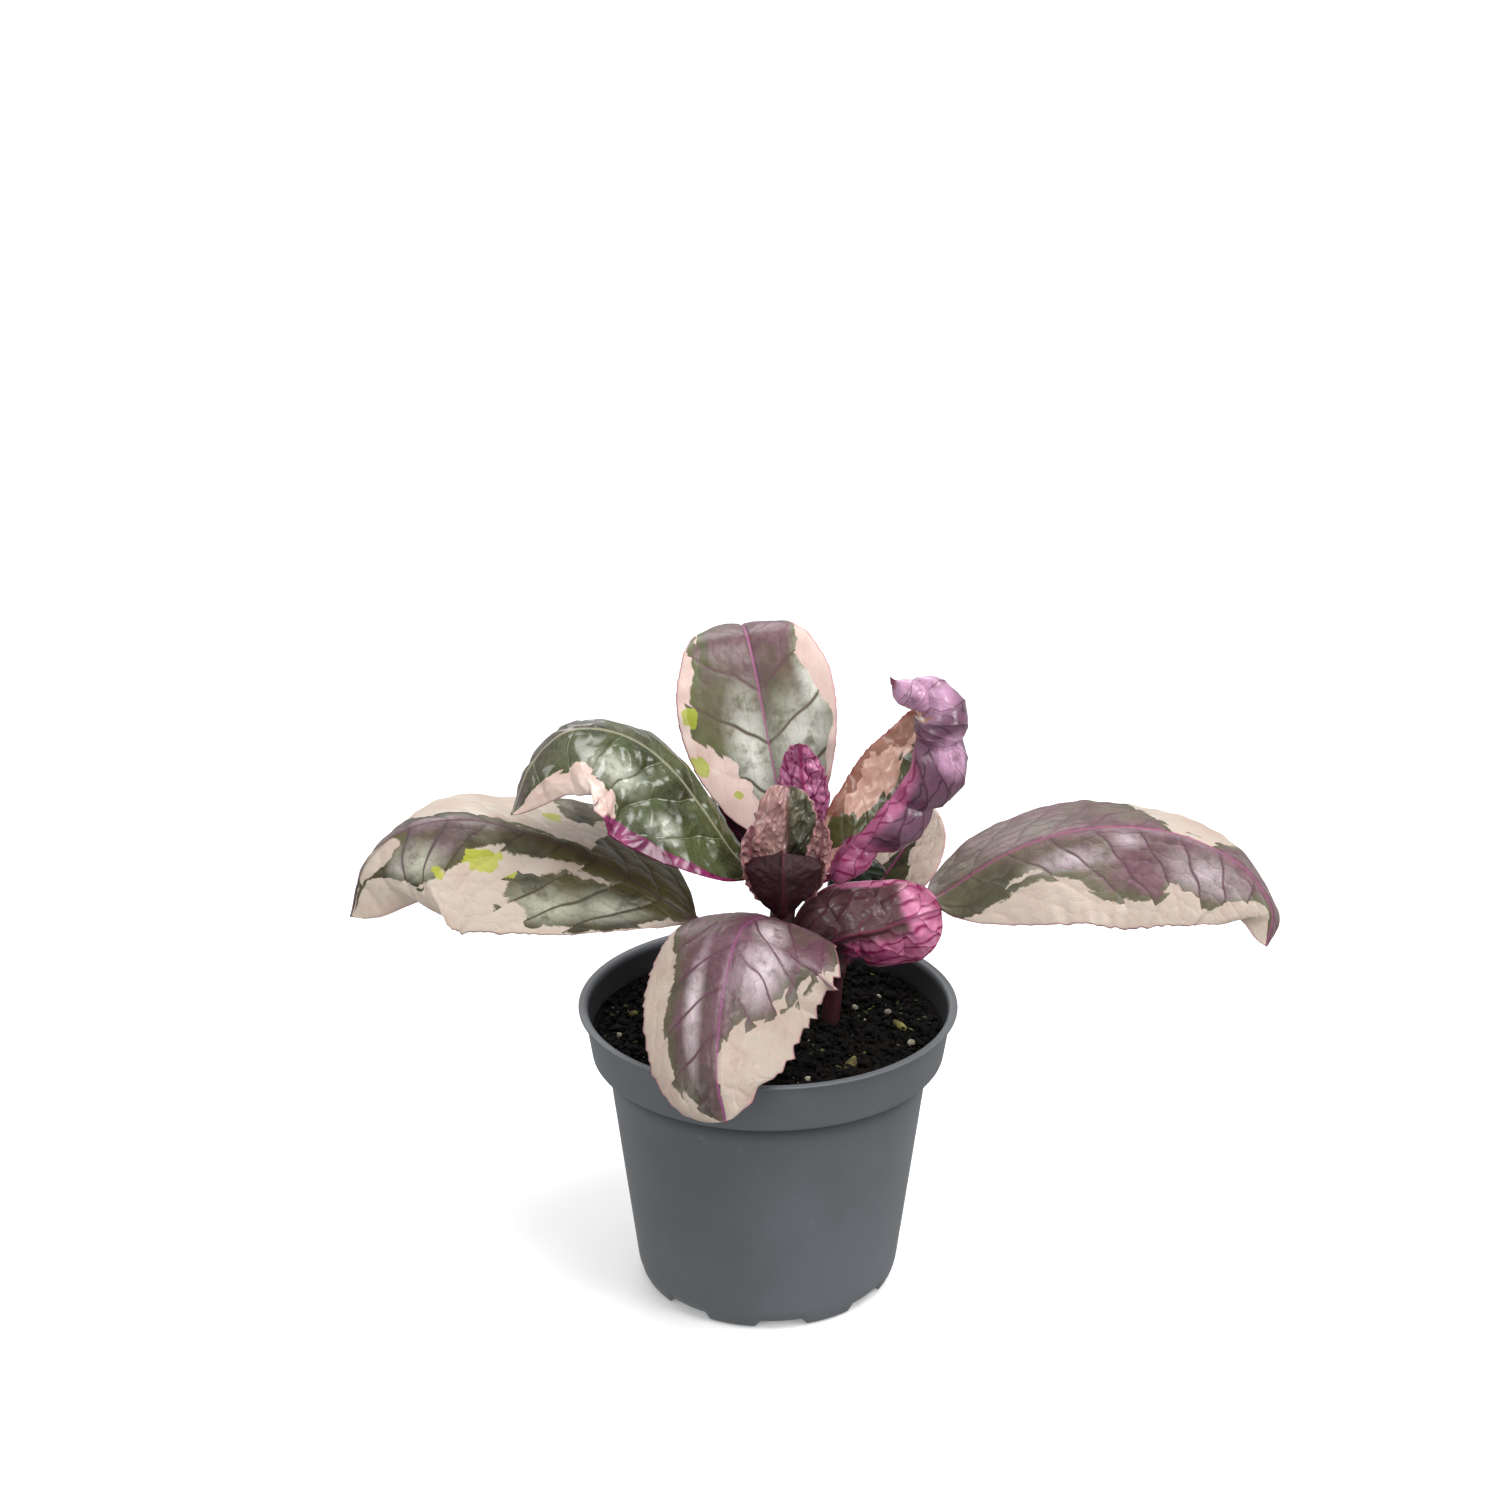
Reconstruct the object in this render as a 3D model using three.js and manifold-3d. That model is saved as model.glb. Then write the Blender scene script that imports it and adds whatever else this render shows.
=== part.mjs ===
// A potted strobilanthes: a thin nursery pot, its soil, two rooted stems and fifteen leaves.
// Millimetres, +Z up. The origin is the centre of the pot's flat underside and the widest
// leaf span runs along X. The plant is built in a group that stands on the soil, so that its
// heights are measured from the soil and it moves with the pot.

import * as THREE from 'three';
import { mergeVertices } from 'three/addons/utils/BufferGeometryUtils.js';
import Module from 'manifold-3d';

const wasm = await Module();
wasm.setup();

// ---------------------------------------------------------------- driving dimensions

const GAP = 0.3;               // clearance between pieces that touch

const RIM_RADIUS = 60;         // outer edge of the pot's lip
const POT_HEIGHT = 95;
const POT_WALL = 1;            // thickness of the formed sheet
const LIP_REACH = 1.8;         // how far the lip stands out from the band under it
const LIP_THICKNESS = 0.8;
const BAND_HEIGHT = 16;        // tall stacking band under the lip
const BAND_TAPER = 2.4;
const STEP_IN = 4.6;           // shoulder where the band meets the wall
const STEP_HEIGHT = 1.2;
const BASE_RADIUS = 42;        // wall's outer radius just above the foot
const FOOT_HEIGHT = 4;
const FOOT_EDGE = 2;           // rounding of the foot
const BASE_THICKNESS = 1.2;
const POT_SEGMENTS = 72;

const NOTCH_COUNT = 8;         // drainage notches in the foot
const NOTCH_WIDTH = 17;
const NOTCH_HEIGHT = 2;
const NOTCH_SLOPE = 2.2;       // how much narrower a notch is at its top, on each side
const NOTCH_REACH = 13;        // how far a notch runs in from the foot's edge
const NOTCH_TURN = 6;          // degrees from the front to the first notch
const DRAIN_RADIUS = 3;
const DRAIN_INSET = 8;         // from the foot's edge to the middle of a drain hole
const DRAIN_SIDES = 16;

const SOIL_DROP = 9;           // from the lip down to the soil
const SOIL_RELIEF = 1.4;       // height of the soil's lumps
const SOIL_RINGS = 9;
const SOIL_SEGMENTS = 48;

const STEM_RADIUS = 3.8;       // main stem at the soil
const SIDE_STEM_RADIUS = 3;
const STEM_SIDES = 14;
const STEM_STEPS = 14;
const ROOT_RADIUS = 1.8;
const ROOT_TAPER = 0.4;        // a root's tip as a share of its start
const ROOT_SPREAD = 22;        // how far a root runs out from its stem
const ROOT_DEPTH = 44;         // how deep a root reaches
const ROOT_START = 14;         // depth where the roots leave the stem
const ROOT_BEND = 0.55;        // share of its spread that a root has at its middle depth
const ROOT_SIDES = 6;
const ROOT_STEPS = 6;

const BLADE_THICKNESS = 0.7;
const PETIOLE_RADIUS = 1.5;
const YOUNG_PETIOLE_RADIUS = 0.9;
const MIDRIB_DEPTH = 0.9;      // ridge under the blade along the midrib
const MIDRIB_WIDTH = 1.6;
const TIP_RADIUS = 0.35;
const RIM_CLEARANCE = 5;       // between the lip and the leaf that hangs over it
const WAVE_LAG = 1.7;          // radians between the margin waves of a leaf's two halves
const BLADE_STATIONS = 20;     // sections along a leaf
const BLADE_STEPS = 4;         // steps from the midrib to the margin
const YOUNG_STATIONS = 12;
const YOUNG_STEPS = 3;

const GRAIN_PROUD = 0.25;      // share of a grain's height that its middle stands proud by
const BARK_BREADTH = 0.45;     // a bark chip's breadth as a share of its length

// ---------------------------------------------------------------- derived dimensions

const soilHeight = POT_HEIGHT - SOIL_DROP;
const bandTop = RIM_RADIUS - LIP_REACH;
const bandFoot = bandTop - BAND_TAPER;
const shoulder = bandFoot - STEP_IN;
const bandBottomHeight = POT_HEIGHT - LIP_THICKNESS - BAND_HEIGHT;
const wallTopHeight = bandBottomHeight - STEP_HEIGHT;
const footRadius = BASE_RADIUS - FOOT_EDGE;
const notchRoof = NOTCH_HEIGHT + POT_WALL;
const overRim = RIM_RADIUS + RIM_CLEARANCE;

// ---------------------------------------------------------------- materials

function plastic() {
  return new THREE.MeshStandardMaterial({ color: 0x5c6063, roughness: 0.45, metalness: 0 });
}

function peat() {
  return new THREE.MeshStandardMaterial({ color: 0x1d1610, roughness: 0.95, metalness: 0 });
}

function mineral() {
  return new THREE.MeshStandardMaterial({ color: 0xcfcabf, roughness: 0.9, metalness: 0 });
}

function barkChip() {
  return new THREE.MeshStandardMaterial({ color: 0x6f6a35, roughness: 0.9, metalness: 0 });
}

function stemSkin() {
  return new THREE.MeshStandardMaterial({ color: 0x4a1c28, roughness: 0.55, metalness: 0 });
}

function leafSkin(color) {
  return new THREE.MeshStandardMaterial({ color, roughness: 0.4, metalness: 0 });
}

// ---------------------------------------------------------------- solids

// A closed three.js geometry as a solid that can be cut and joined.
function solidOf(geometry) {
  const bare = geometry.index ? geometry.clone() : geometry;
  bare.deleteAttribute('normal');
  bare.deleteAttribute('uv');
  const merged = mergeVertices(bare, 1e-4);
  return new wasm.Manifold(new wasm.Mesh({
    numProp: 3,
    vertProperties: new Float32Array(merged.attributes.position.array),
    triVerts: new Uint32Array(merged.index.array),
  }));
}

function geometryOf(solid) {
  const { numProp, vertProperties, triVerts } = solid.getMesh();
  const count = vertProperties.length / numProp;
  const position = new Float32Array(count * 3);
  for (let i = 0; i < count; i += 1) {
    position.set(vertProperties.subarray(i * numProp, i * numProp + 3), i * 3);
  }
  const geometry = new THREE.BufferGeometry();
  geometry.setAttribute('position', new THREE.BufferAttribute(position, 3));
  geometry.setIndex(new THREE.BufferAttribute(new Uint32Array(triVerts), 1));
  geometry.computeVertexNormals();
  return geometry;
}

// A solid turned about the pot's axis from a closed profile of [radius, height] points.
function turned(profile, segments) {
  const points = profile.map(([radius, height]) => new THREE.Vector2(radius, height));
  const geometry = new THREE.LatheGeometry(points, segments);
  geometry.rotateX(Math.PI / 2);
  return solidOf(geometry);
}

// A closed skin over a row of rings with equally many points, with a point at each end.
function skinned(rings) {
  const sides = rings[0].length;
  const positions = rings.flat().flatMap((point) => point.toArray());
  const ends = [rings[0], rings[rings.length - 1]].map((ring) => {
    const middle = new THREE.Vector3();
    ring.forEach((point) => middle.addScaledVector(point, 1 / sides));
    return middle;
  });
  ends.forEach((point) => positions.push(...point.toArray()));
  const firstEnd = rings.length * sides;
  const lastRing = (rings.length - 1) * sides;
  const faces = [];
  for (let side = 0; side < sides; side += 1) {
    const next = (side + 1) % sides;
    faces.push(firstEnd, next, side);
    faces.push(firstEnd + 1, lastRing + side, lastRing + next);
    for (let ring = 0; ring < rings.length - 1; ring += 1) {
      const near = ring * sides;
      const far = near + sides;
      faces.push(near + side, near + next, far + next);
      faces.push(near + side, far + next, far + side);
    }
  }
  const geometry = new THREE.BufferGeometry();
  geometry.setAttribute('position', new THREE.Float32BufferAttribute(positions, 3));
  geometry.setIndex(faces);
  return solidOf(geometry);
}

function mix(values, share) {
  const place = share * (values.length - 1);
  const first = Math.min(Math.floor(place), values.length - 2);
  return THREE.MathUtils.lerp(values[first], values[first + 1], place - first);
}

// ---------------------------------------------------------------- pot

// The pot's outer outline from the axis at the base up to the lip, drawn in by `wall`.
function potOutline(wall, floor, top) {
  return [
    [0, floor],
    [footRadius - wall, floor],
    [BASE_RADIUS - FOOT_EDGE / 3 - wall, floor + FOOT_EDGE / 2],
    [BASE_RADIUS - wall, floor + FOOT_HEIGHT],
    [shoulder - wall, wallTopHeight + wall],
    [bandFoot - wall, bandBottomHeight + wall],
    [bandTop - wall, top],
    [0, top],
  ];
}

// One drainage notch, a sloped-sided channel that runs in from the foot, grown by `wall`.
function notch(index, wall) {
  const half = NOTCH_WIDTH / 2 + wall;
  const outline = new THREE.Shape();
  outline.moveTo(-half, -1);
  outline.lineTo(half, -1);
  outline.lineTo(half, 0);
  outline.lineTo(half - NOTCH_SLOPE, NOTCH_HEIGHT + wall);
  outline.lineTo(-half + NOTCH_SLOPE, NOTCH_HEIGHT + wall);
  outline.lineTo(-half, 0);
  outline.closePath();
  const length = NOTCH_REACH + wall + FOOT_EDGE * 2;
  const geometry = new THREE.ExtrudeGeometry(outline, { depth: length, bevelEnabled: false });
  geometry.rotateX(Math.PI / 2);
  geometry.translate(0, -(footRadius - NOTCH_REACH - wall), 0);
  geometry.rotateZ(notchTurn(index));
  return solidOf(geometry);
}

function drain(index) {
  const geometry = new THREE.CylinderGeometry(DRAIN_RADIUS, DRAIN_RADIUS, notchRoof * 4, DRAIN_SIDES);
  geometry.rotateX(Math.PI / 2);
  geometry.translate(0, -(footRadius - DRAIN_INSET), 0);
  geometry.rotateZ(notchTurn(index));
  return solidOf(geometry);
}

function notchTurn(index) {
  return THREE.MathUtils.degToRad(NOTCH_TURN + index * 360 / NOTCH_COUNT);
}

function pot() {
  const outside = potOutline(0, 0, POT_HEIGHT - LIP_THICKNESS);
  const lip = [
    [RIM_RADIUS, POT_HEIGHT - LIP_THICKNESS],
    [RIM_RADIUS, POT_HEIGHT],
    [0, POT_HEIGHT],
  ];
  let outer = turned([...outside.slice(0, -1), ...lip], POT_SEGMENTS);
  let inner = turned(potOutline(POT_WALL, BASE_THICKNESS, POT_HEIGHT + 1), POT_SEGMENTS);
  for (let index = 0; index < NOTCH_COUNT; index += 1) {
    outer = outer.subtract(notch(index, 0));
    inner = inner.subtract(notch(index, POT_WALL));
  }
  let shell = outer.subtract(inner);
  for (let index = 0; index < NOTCH_COUNT; index += 1) {
    shell = shell.subtract(drain(index));
  }
  return shell;
}

// ---------------------------------------------------------------- soil

// Height of the lumpy soil above its mean level, falling to nothing at the wall.
function lump(x, y) {
  const broad = Math.sin(x * 0.16 + 1.1) * Math.cos(y * 0.19 - 0.4);
  const fine = Math.sin(x * 0.47 - y * 0.31) * Math.sin(y * 0.52 + 0.8);
  return SOIL_RELIEF * (0.6 * broad + 0.4 * fine);
}

function soilRadius(height) {
  const inner = potOutline(POT_WALL + GAP, BASE_THICKNESS, POT_HEIGHT);
  const above = inner.findIndex((point, index) => index > 1 && point[1] >= height);
  const [lowRadius, low] = inner[above - 1];
  const [highRadius, high] = inner[above];
  return THREE.MathUtils.lerp(lowRadius, highRadius, (height - low) / (high - low));
}

function soilBlock() {
  const inset = POT_WALL + GAP;
  const heights = [notchRoof + GAP, wallTopHeight + inset, bandBottomHeight + inset, soilHeight];
  const rings = heights.map((height) => circle(soilRadius(height), () => height));
  const edge = soilRadius(soilHeight);
  for (let ring = 1; ring < SOIL_RINGS; ring += 1) {
    const radius = edge * (1 - ring / SOIL_RINGS);
    rings.push(circle(radius, (x, y) => soilHeight + lump(x, y)));
  }
  return skinned(rings);
}

function circle(radius, heightAt) {
  const ring = [];
  for (let side = 0; side < SOIL_SEGMENTS; side += 1) {
    const angle = side * 2 * Math.PI / SOIL_SEGMENTS;
    const x = radius * Math.cos(angle);
    const y = radius * Math.sin(angle);
    ring.push(new THREE.Vector3(x, y, heightAt(x, y)));
  }
  return ring;
}

// ---------------------------------------------------------------- stems and roots

// A round, tapering body along a smooth curve; `radii` are spread evenly along it.
function taperedRod(points, radii, steps, sides, grow) {
  const curve = new THREE.CatmullRomCurve3(points);
  const frames = curve.computeFrenetFrames(steps, false);
  const rings = [];
  for (let step = 0; step <= steps; step += 1) {
    const share = step / steps;
    const reach = step === 0 ? -grow : (step === steps ? grow : 0);
    const middle = curve.getPointAt(share).addScaledVector(frames.tangents[step], reach);
    const radius = mix(radii, share) + grow;
    const ring = [];
    for (let side = 0; side < sides; side += 1) {
      const angle = side * 2 * Math.PI / sides;
      ring.push(middle.clone()
        .addScaledVector(frames.normals[step], radius * Math.cos(angle))
        .addScaledVector(frames.binormals[step], radius * Math.sin(angle)));
    }
    rings.push(ring);
  }
  return skinned(rings);
}

function vectors(rows) {
  return rows.map((row) => new THREE.Vector3(...row));
}

// Heights here and in the leaves are above the soil.
const STEMS = {
  main_stem: {
    points: [[3, 1, -24], [3, 0, 0], [4, 0, 28], [5, 0, 50]],
    radii: [STEM_RADIUS * 0.7, STEM_RADIUS, STEM_RADIUS * 0.92, STEM_RADIUS * 1.12],
    roots: [100, 215, 335],
  },
  side_stem: {
    points: [[18, 4, -20], [20, 4, 0], [22, 5, 22], [24.5, 6.5, 33]],
    radii: [SIDE_STEM_RADIUS * 0.7, SIDE_STEM_RADIUS, SIDE_STEM_RADIUS * 0.9, SIDE_STEM_RADIUS],
    roots: [20, 285],
  },
};

function stem(name, grow) {
  const { points, radii, roots } = STEMS[name];
  const rod = taperedRod(vectors(points), radii, STEM_STEPS, STEM_SIDES, grow);
  const [x, y] = points[0];
  return roots.reduce((body, degrees) => body.add(root(x, y, degrees, grow)), rod);
}

function root(x, y, degrees, grow) {
  const angle = THREE.MathUtils.degToRad(degrees);
  const out = (share, depth) => new THREE.Vector3(
    x + ROOT_SPREAD * share * Math.cos(angle),
    y + ROOT_SPREAD * share * Math.sin(angle),
    -depth,
  );
  const middle = (ROOT_START + ROOT_DEPTH) / 2;
  const points = [out(0, ROOT_START), out(ROOT_BEND, middle), out(1, ROOT_DEPTH)];
  return taperedRod(points, [ROOT_RADIUS, ROOT_RADIUS * ROOT_TAPER], ROOT_STEPS, ROOT_SIDES, grow);
}

// ---------------------------------------------------------------- leaves

// Every leaf is its petiole and blade in one. `spine` runs from inside the stem to the tip,
// `bare` is the share of it that is petiole, and `face` are the ways the upper side looks,
// spread along it. The pairs are for the left and right halves, seen from above with the
// tip away: `width` in mm, `fullest` where it is widest, `base` and `point` how fast it
// narrows to each end, and `fold` and `curl` the degrees that it lifts at the midrib and
// bends by to its margin, spread from base to tip. `wave` is a margin wave's height and count.
const LEAVES = {
  left_leaf: {
    stem: 'main_stem',
    color: 0xd9c3b4,
    spine: [[3.5, -1, 17], [-8, -4, 27], [-24.5, -5, 40], [-52, -7, 59.5], [-73, -9, 69.5],
      [-93.5, -12, 75.5], [-111, -14, 72.5], [-123, -15, 61.5], [-128, -16, 45]],
    bare: 0.21,
    face: [[0, -0.35, 1], [0, -0.42, 0.9], [-0.2, -0.5, 0.85], [-0.5, -0.4, 0.8]],
    width: [33, 29],
    fullest: [0.58, 0.34],
    base: [0.95, 0.7],
    point: [0.55, 0.8],
    fold: [[-8, -26, -45], [0, -30, -36]],
    curl: [[-4, -12, -10], [-6, -6]],
    wave: [1.2, 3],
  },
  upper_left_leaf: {
    stem: 'main_stem',
    color: 0x54603f,
    spine: [[4.5, 0, 45], [-8, -3, 57], [-19.5, -5, 75], [-27.5, -7, 87.5], [-37.5, -9, 98],
      [-48.5, -13, 104.5], [-60.5, -17, 105.5], [-70.5, -20, 97], [-77, -22, 81]],
    bare: 0.1,
    face: [[0.6, -0.75, 0.6], [0.35, -0.7, 0.7], [0, -0.7, 0.8], [-0.5, -0.6, 0.6]],
    width: [29, 20],
    fullest: [0.47, 0.42],
    base: [0.9, 0.6],
    point: [0.8, 0.8],
    fold: [[-2, -6, -14], [-14, -50]],
    curl: [[26, 0, -20], [-60, -50]],
    wave: [0.8, 2],
  },
  back_leaf: {
    stem: 'main_stem',
    color: 0x7b7a6a,
    spine: [[5, 1.5, 48], [5.5, 9.5, 62], [3, 13, 75.5], [0, 17, 90.5], [-3.5, 24, 108],
      [-6.5, 33, 119], [-8.5, 48, 118.5], [-8.5, 62, 111.5]],
    bare: 0.1,
    face: [[0, -1, 0.3], [0, -1, 0.2], [0, -0.9, 0.6], [0, -0.3, 1]],
    width: [26, 22.5],
    fullest: [0.45, 0.48],
    base: [0.8, 0.8],
    point: [1.6, 1.9],
    fold: [[14, 10], [14, 10]],
    curl: [[20, -30], [20, -30]],
    wave: [0.5, 2],
  },
  curled_right_leaf: {
    stem: 'main_stem',
    color: 0x9a4f6c,
    spine: [[5.5, 0.5, 47], [18, -2, 52.5], [29.5, -2, 65], [41, -2, 78.5], [50, -3, 94],
      [53, -4, 107], [48.5, -7, 117], [36.5, -12, 119]],
    bare: 0.14,
    face: [[-0.45, -0.8, 0.5], [-0.5, -0.8, 0.4], [-0.5, -0.8, 0.2], [-0.5, -0.6, -0.3]],
    width: [16.5, 34],
    fullest: [0.38, 0.58],
    base: [0.6, 0.8],
    point: [1.5, 0.42],
    fold: [[10, 10], [-40, -40, -40, -40, -38, -22, -10, -4]],
    curl: [[10, 10], [240, 240, 240, 245, 250, 245, 250, 250]],
    wave: [0.8, 3],
    rolled: true,
  },
  right_leaf: {
    stem: 'side_stem',
    color: 0x77606c,
    spine: [[21.5, 5, 17], [35.5, 9, 29], [54.5, 14, 39], [76.5, 15, 53.5], [97, 16, 60.5],
      [117.5, 16, 61.5], [136.5, 14, 57.5], [151.5, 11, 48.5], [159.5, 8, 36], [158, 6, 25]],
    bare: 0.22,
    face: [[0, -0.3, 1], [0, -0.42, 0.9], [0, -0.45, 0.85], [0.5, -0.4, 0.8]],
    width: [23, 31],
    fullest: [0.4, 0.5],
    base: [0.45, 0.6],
    point: [0.6, 0.7],
    fold: [[-14, -28, -28], [-14, -30, -30]],
    curl: [[-6, -6], [-10, -10]],
    wave: [0.8, 3],
  },
  front_leaf: {
    stem: 'main_stem',
    color: 0x8a7280,
    spine: [[3.5, 0, 28], [0, -14, 44], [-8.5, -30, 46.5], [-13.5, 15 - overRim, 35.5],
      [-15, 4 - overRim, 24], [-15, -4 - overRim, 15], [-12.5, -8 - overRim, 5]],
    bare: 0.16,
    face: [[0, -0.2, 1], [0, -0.5, 0.9], [0, -0.8, 0.6], [0, -1, 0.4]],
    width: [31, 24.5],
    fullest: [0.24, 0.5],
    base: [0.4, 0.8],
    point: [0.6, 0.45],
    fold: [[6, -18, -12], [-16, -12]],
    curl: [[-10, -16, -16], [-16, -16]],
    wave: [0.8, 3],
  },
  pale_leaf: {
    stem: 'side_stem',
    color: 0xdcc3b6,
    spine: [[24, 6.5, 31], [30, 10.5, 38], [38.5, 14, 48], [45.5, 18, 58], [50, 24, 67.5]],
    bare: 0.22,
    face: [[-0.2, -0.9, 0.5], [-0.2, -0.9, 0.4]],
    width: [13, 13],
    fullest: [0.5, 0.5],
    base: [0.7, 0.7],
    point: [0.7, 0.7],
    fold: [[10, 10], [10, 10]],
    curl: [[20, 20], [10, 10]],
    wave: [0.3, 2],
    young: true,
  },
  small_curled_leaf: {
    stem: 'side_stem',
    color: 0xb4486f,
    spine: [[21.5, 5, 20], [17, -4, 28], [23.5, -9, 35], [34.5, -10, 38], [45, -9, 41.5],
      [53.5, -6, 43.5]],
    bare: 0.2,
    face: [[0, 1, -0.2], [-0.1, 1, -0.1], [-0.1, 1, -0.2]],
    width: [18, 16.5],
    fullest: [0.6, 0.3],
    base: [0.6, 0.25],
    point: [0.35, 0.32],
    fold: [[0, 0], [14, 14]],
    curl: [[60, 60, 30], [40, 40]],
    wave: [0.3, 2],
    young: true,
  },
  small_green_leaf: {
    stem: 'side_stem',
    color: 0x2c3a2a,
    spine: [[23.5, 6, 31], [22, 7.5, 42], [26, 8, 48], [31.5, 9, 49.5], [37, 8, 49]],
    bare: 0.3,
    face: [[-0.6, -0.8, 0.3], [0, -0.8, 0.6], [0, -0.8, 0.6]],
    width: [6, 6],
    fullest: [0.5, 0.5],
    base: [0.7, 0.7],
    point: [0.7, 0.7],
    fold: [[-10, -10], [-10, -10]],
    curl: [[-20, -20], [-20, -20]],
    wave: [0.2, 2],
    young: true,
  },
  maroon_leaf: {
    stem: 'main_stem',
    color: 0x401a26,
    spine: [[4.5, 2.5, 46.5], [-1.5, 10, 51.5], [-8.5, 13, 59], [-16, 13, 70]],
    bare: 0.22,
    face: [[0.5, -0.9, 0.3], [0.5, -0.9, 0.3]],
    width: [4.5, 5],
    fullest: [0.4, 0.4],
    base: [0.7, 0.7],
    point: [0.9, 0.9],
    fold: [[20, 20], [20, 20]],
    curl: [[10, 10], [10, 10]],
    wave: [0.2, 2],
    young: true,
  },
  young_leaf: {
    stem: 'main_stem',
    color: 0x8c6f68,
    spine: [[5, -1, 48], [6, -4, 58], [6, -6, 69.5], [6, -6, 79.5], [6.5, -3, 82.5]],
    bare: 0.12,
    face: [[0, -1, 0.2], [0, -1, 0.2]],
    width: [10, 9],
    fullest: [0.6, 0.6],
    base: [0.6, 0.6],
    point: [0.5, 0.5],
    fold: [[10, 10], [10, 10]],
    curl: [[10, 10], [10, 10]],
    wave: [0.3, 2],
    young: true,
  },
  young_purple_leaf: {
    stem: 'main_stem',
    color: 0x8f2d62,
    spine: [[7, 1, 48], [10, 1.5, 62.5], [11, 3, 77], [10, 3.4, 86.5], [9.5, 1.5, 95]],
    bare: 0.2,
    face: [[0, 1, 0.1], [0, 1, 0.1]],
    width: [8, 8],
    fullest: [0.5, 0.5],
    base: [0.6, 0.6],
    point: [0.8, 0.8],
    fold: [[14, 14], [14, 14]],
    curl: [[20, 20], [20, 20]],
    wave: [0.3, 2],
    young: true,
  },
  young_cupped_leaf: {
    stem: 'main_stem',
    color: 0x571531,
    spine: [[4.5, -1, 38], [4.5, -8, 42], [4.5, -15, 51.5], [4.5, -17, 60.5], [4.5, -14, 65]],
    bare: 0.18,
    face: [[0, 0.9, 0.4], [0, 1, 0.1]],
    width: [12, 12],
    fullest: [0.85, 0.85],
    base: [0.9, 0.9],
    point: [0.12, 0.12],
    fold: [[8, 8], [8, 8]],
    curl: [[24, 24], [24, 24]],
    wave: [0.3, 2],
    young: true,
  },
  left_bract: {
    stem: 'main_stem',
    color: 0x6d4a45,
    spine: [[4, -1.5, 43], [-1.5, -6.5, 50], [-4.5, -9, 59], [-5.5, -10, 66], [-5, -10, 72.5]],
    bare: 0.15,
    face: [[0.3, -0.9, 0.3], [0.3, -0.9, 0.3]],
    width: [4, 3],
    fullest: [0.5, 0.5],
    base: [0.7, 0.7],
    point: [0.7, 0.7],
    fold: [[10, 10], [10, 10]],
    curl: [[20, 20], [20, 20]],
    wave: [0.3, 2],
    young: true,
  },
  right_bract: {
    stem: 'main_stem',
    color: 0x7a4b50,
    spine: [[6, -1.5, 43], [12, -6.5, 50], [15, -9, 59], [16.5, -10, 68], [16, -10, 75]],
    bare: 0.15,
    face: [[-0.3, -0.9, 0.3], [-0.3, -0.9, 0.3]],
    width: [3.5, 3.5],
    fullest: [0.5, 0.5],
    base: [0.7, 0.7],
    point: [0.7, 0.7],
    fold: [[10, 10], [10, 10]],
    curl: [[20, 20], [20, 20]],
    wave: [0.3, 2],
    young: true,
  },
};

// Share of its full width that one half of a blade has, `along` from base to tip: it swells
// as a rounded curve to the fullest place and narrows from there to the point.
function blade(along, fullest, base, point) {
  const rise = THREE.MathUtils.clamp(along / fullest, 0, 1);
  const fall = THREE.MathUtils.clamp((along - fullest) / (1 - fullest), 0, 1);
  return (1 - (1 - rise) ** 2) ** base * (1 - fall ** 2) ** point;
}

// One half of a leaf's cross-section, from the midrib to the margin, as points of the upper
// and the lower side with `out` across the blade and `up` on its upper side.
function halfSection(leaf, half, along, steps, radius) {
  const full = blade(along, leaf.fullest[half], leaf.base[half], leaf.point[half]);
  const width = leaf.width[half] * full;
  const fold = mix(leaf.fold[half], along);
  const curl = mix(leaf.curl[half], along);
  const round = Math.exp(-width / (2 * radius));
  const thick = THREE.MathUtils.lerp(BLADE_THICKNESS / 2, radius, round);
  const [height, count] = leaf.wave;
  const wave = height * full * Math.sin(2 * Math.PI * count * along + half * WAVE_LAG);
  const upper = [];
  const lower = [];
  let out = 0;
  let up = 0;
  for (let step = 0; step <= steps; step += 1) {
    const share = step / steps;
    const angle = THREE.MathUtils.degToRad((fold + curl * share) * (1 - round));
    if (step > 0) {
      const stride = (width + radius) / steps;
      const middle = angle - THREE.MathUtils.degToRad(curl * (1 - round) / steps / 2);
      out += stride * Math.cos(middle);
      up += stride * Math.sin(middle);
    }
    const edge = Math.sqrt(1 - share ** 2);
    const across = share * (width + radius) / MIDRIB_WIDTH;
    const ridge = (1 - round) * MIDRIB_DEPTH * (1 - along) * Math.max(0, 1 - across ** 2);
    const lift = up + wave * share ** 2;
    const above = thick * edge;
    const below = above + ridge;
    upper.push([out - above * Math.sin(angle), lift + above * Math.cos(angle)]);
    lower.push([out + below * Math.sin(angle), lift - below * Math.cos(angle)]);
  }
  return { upper, lower };
}

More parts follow.
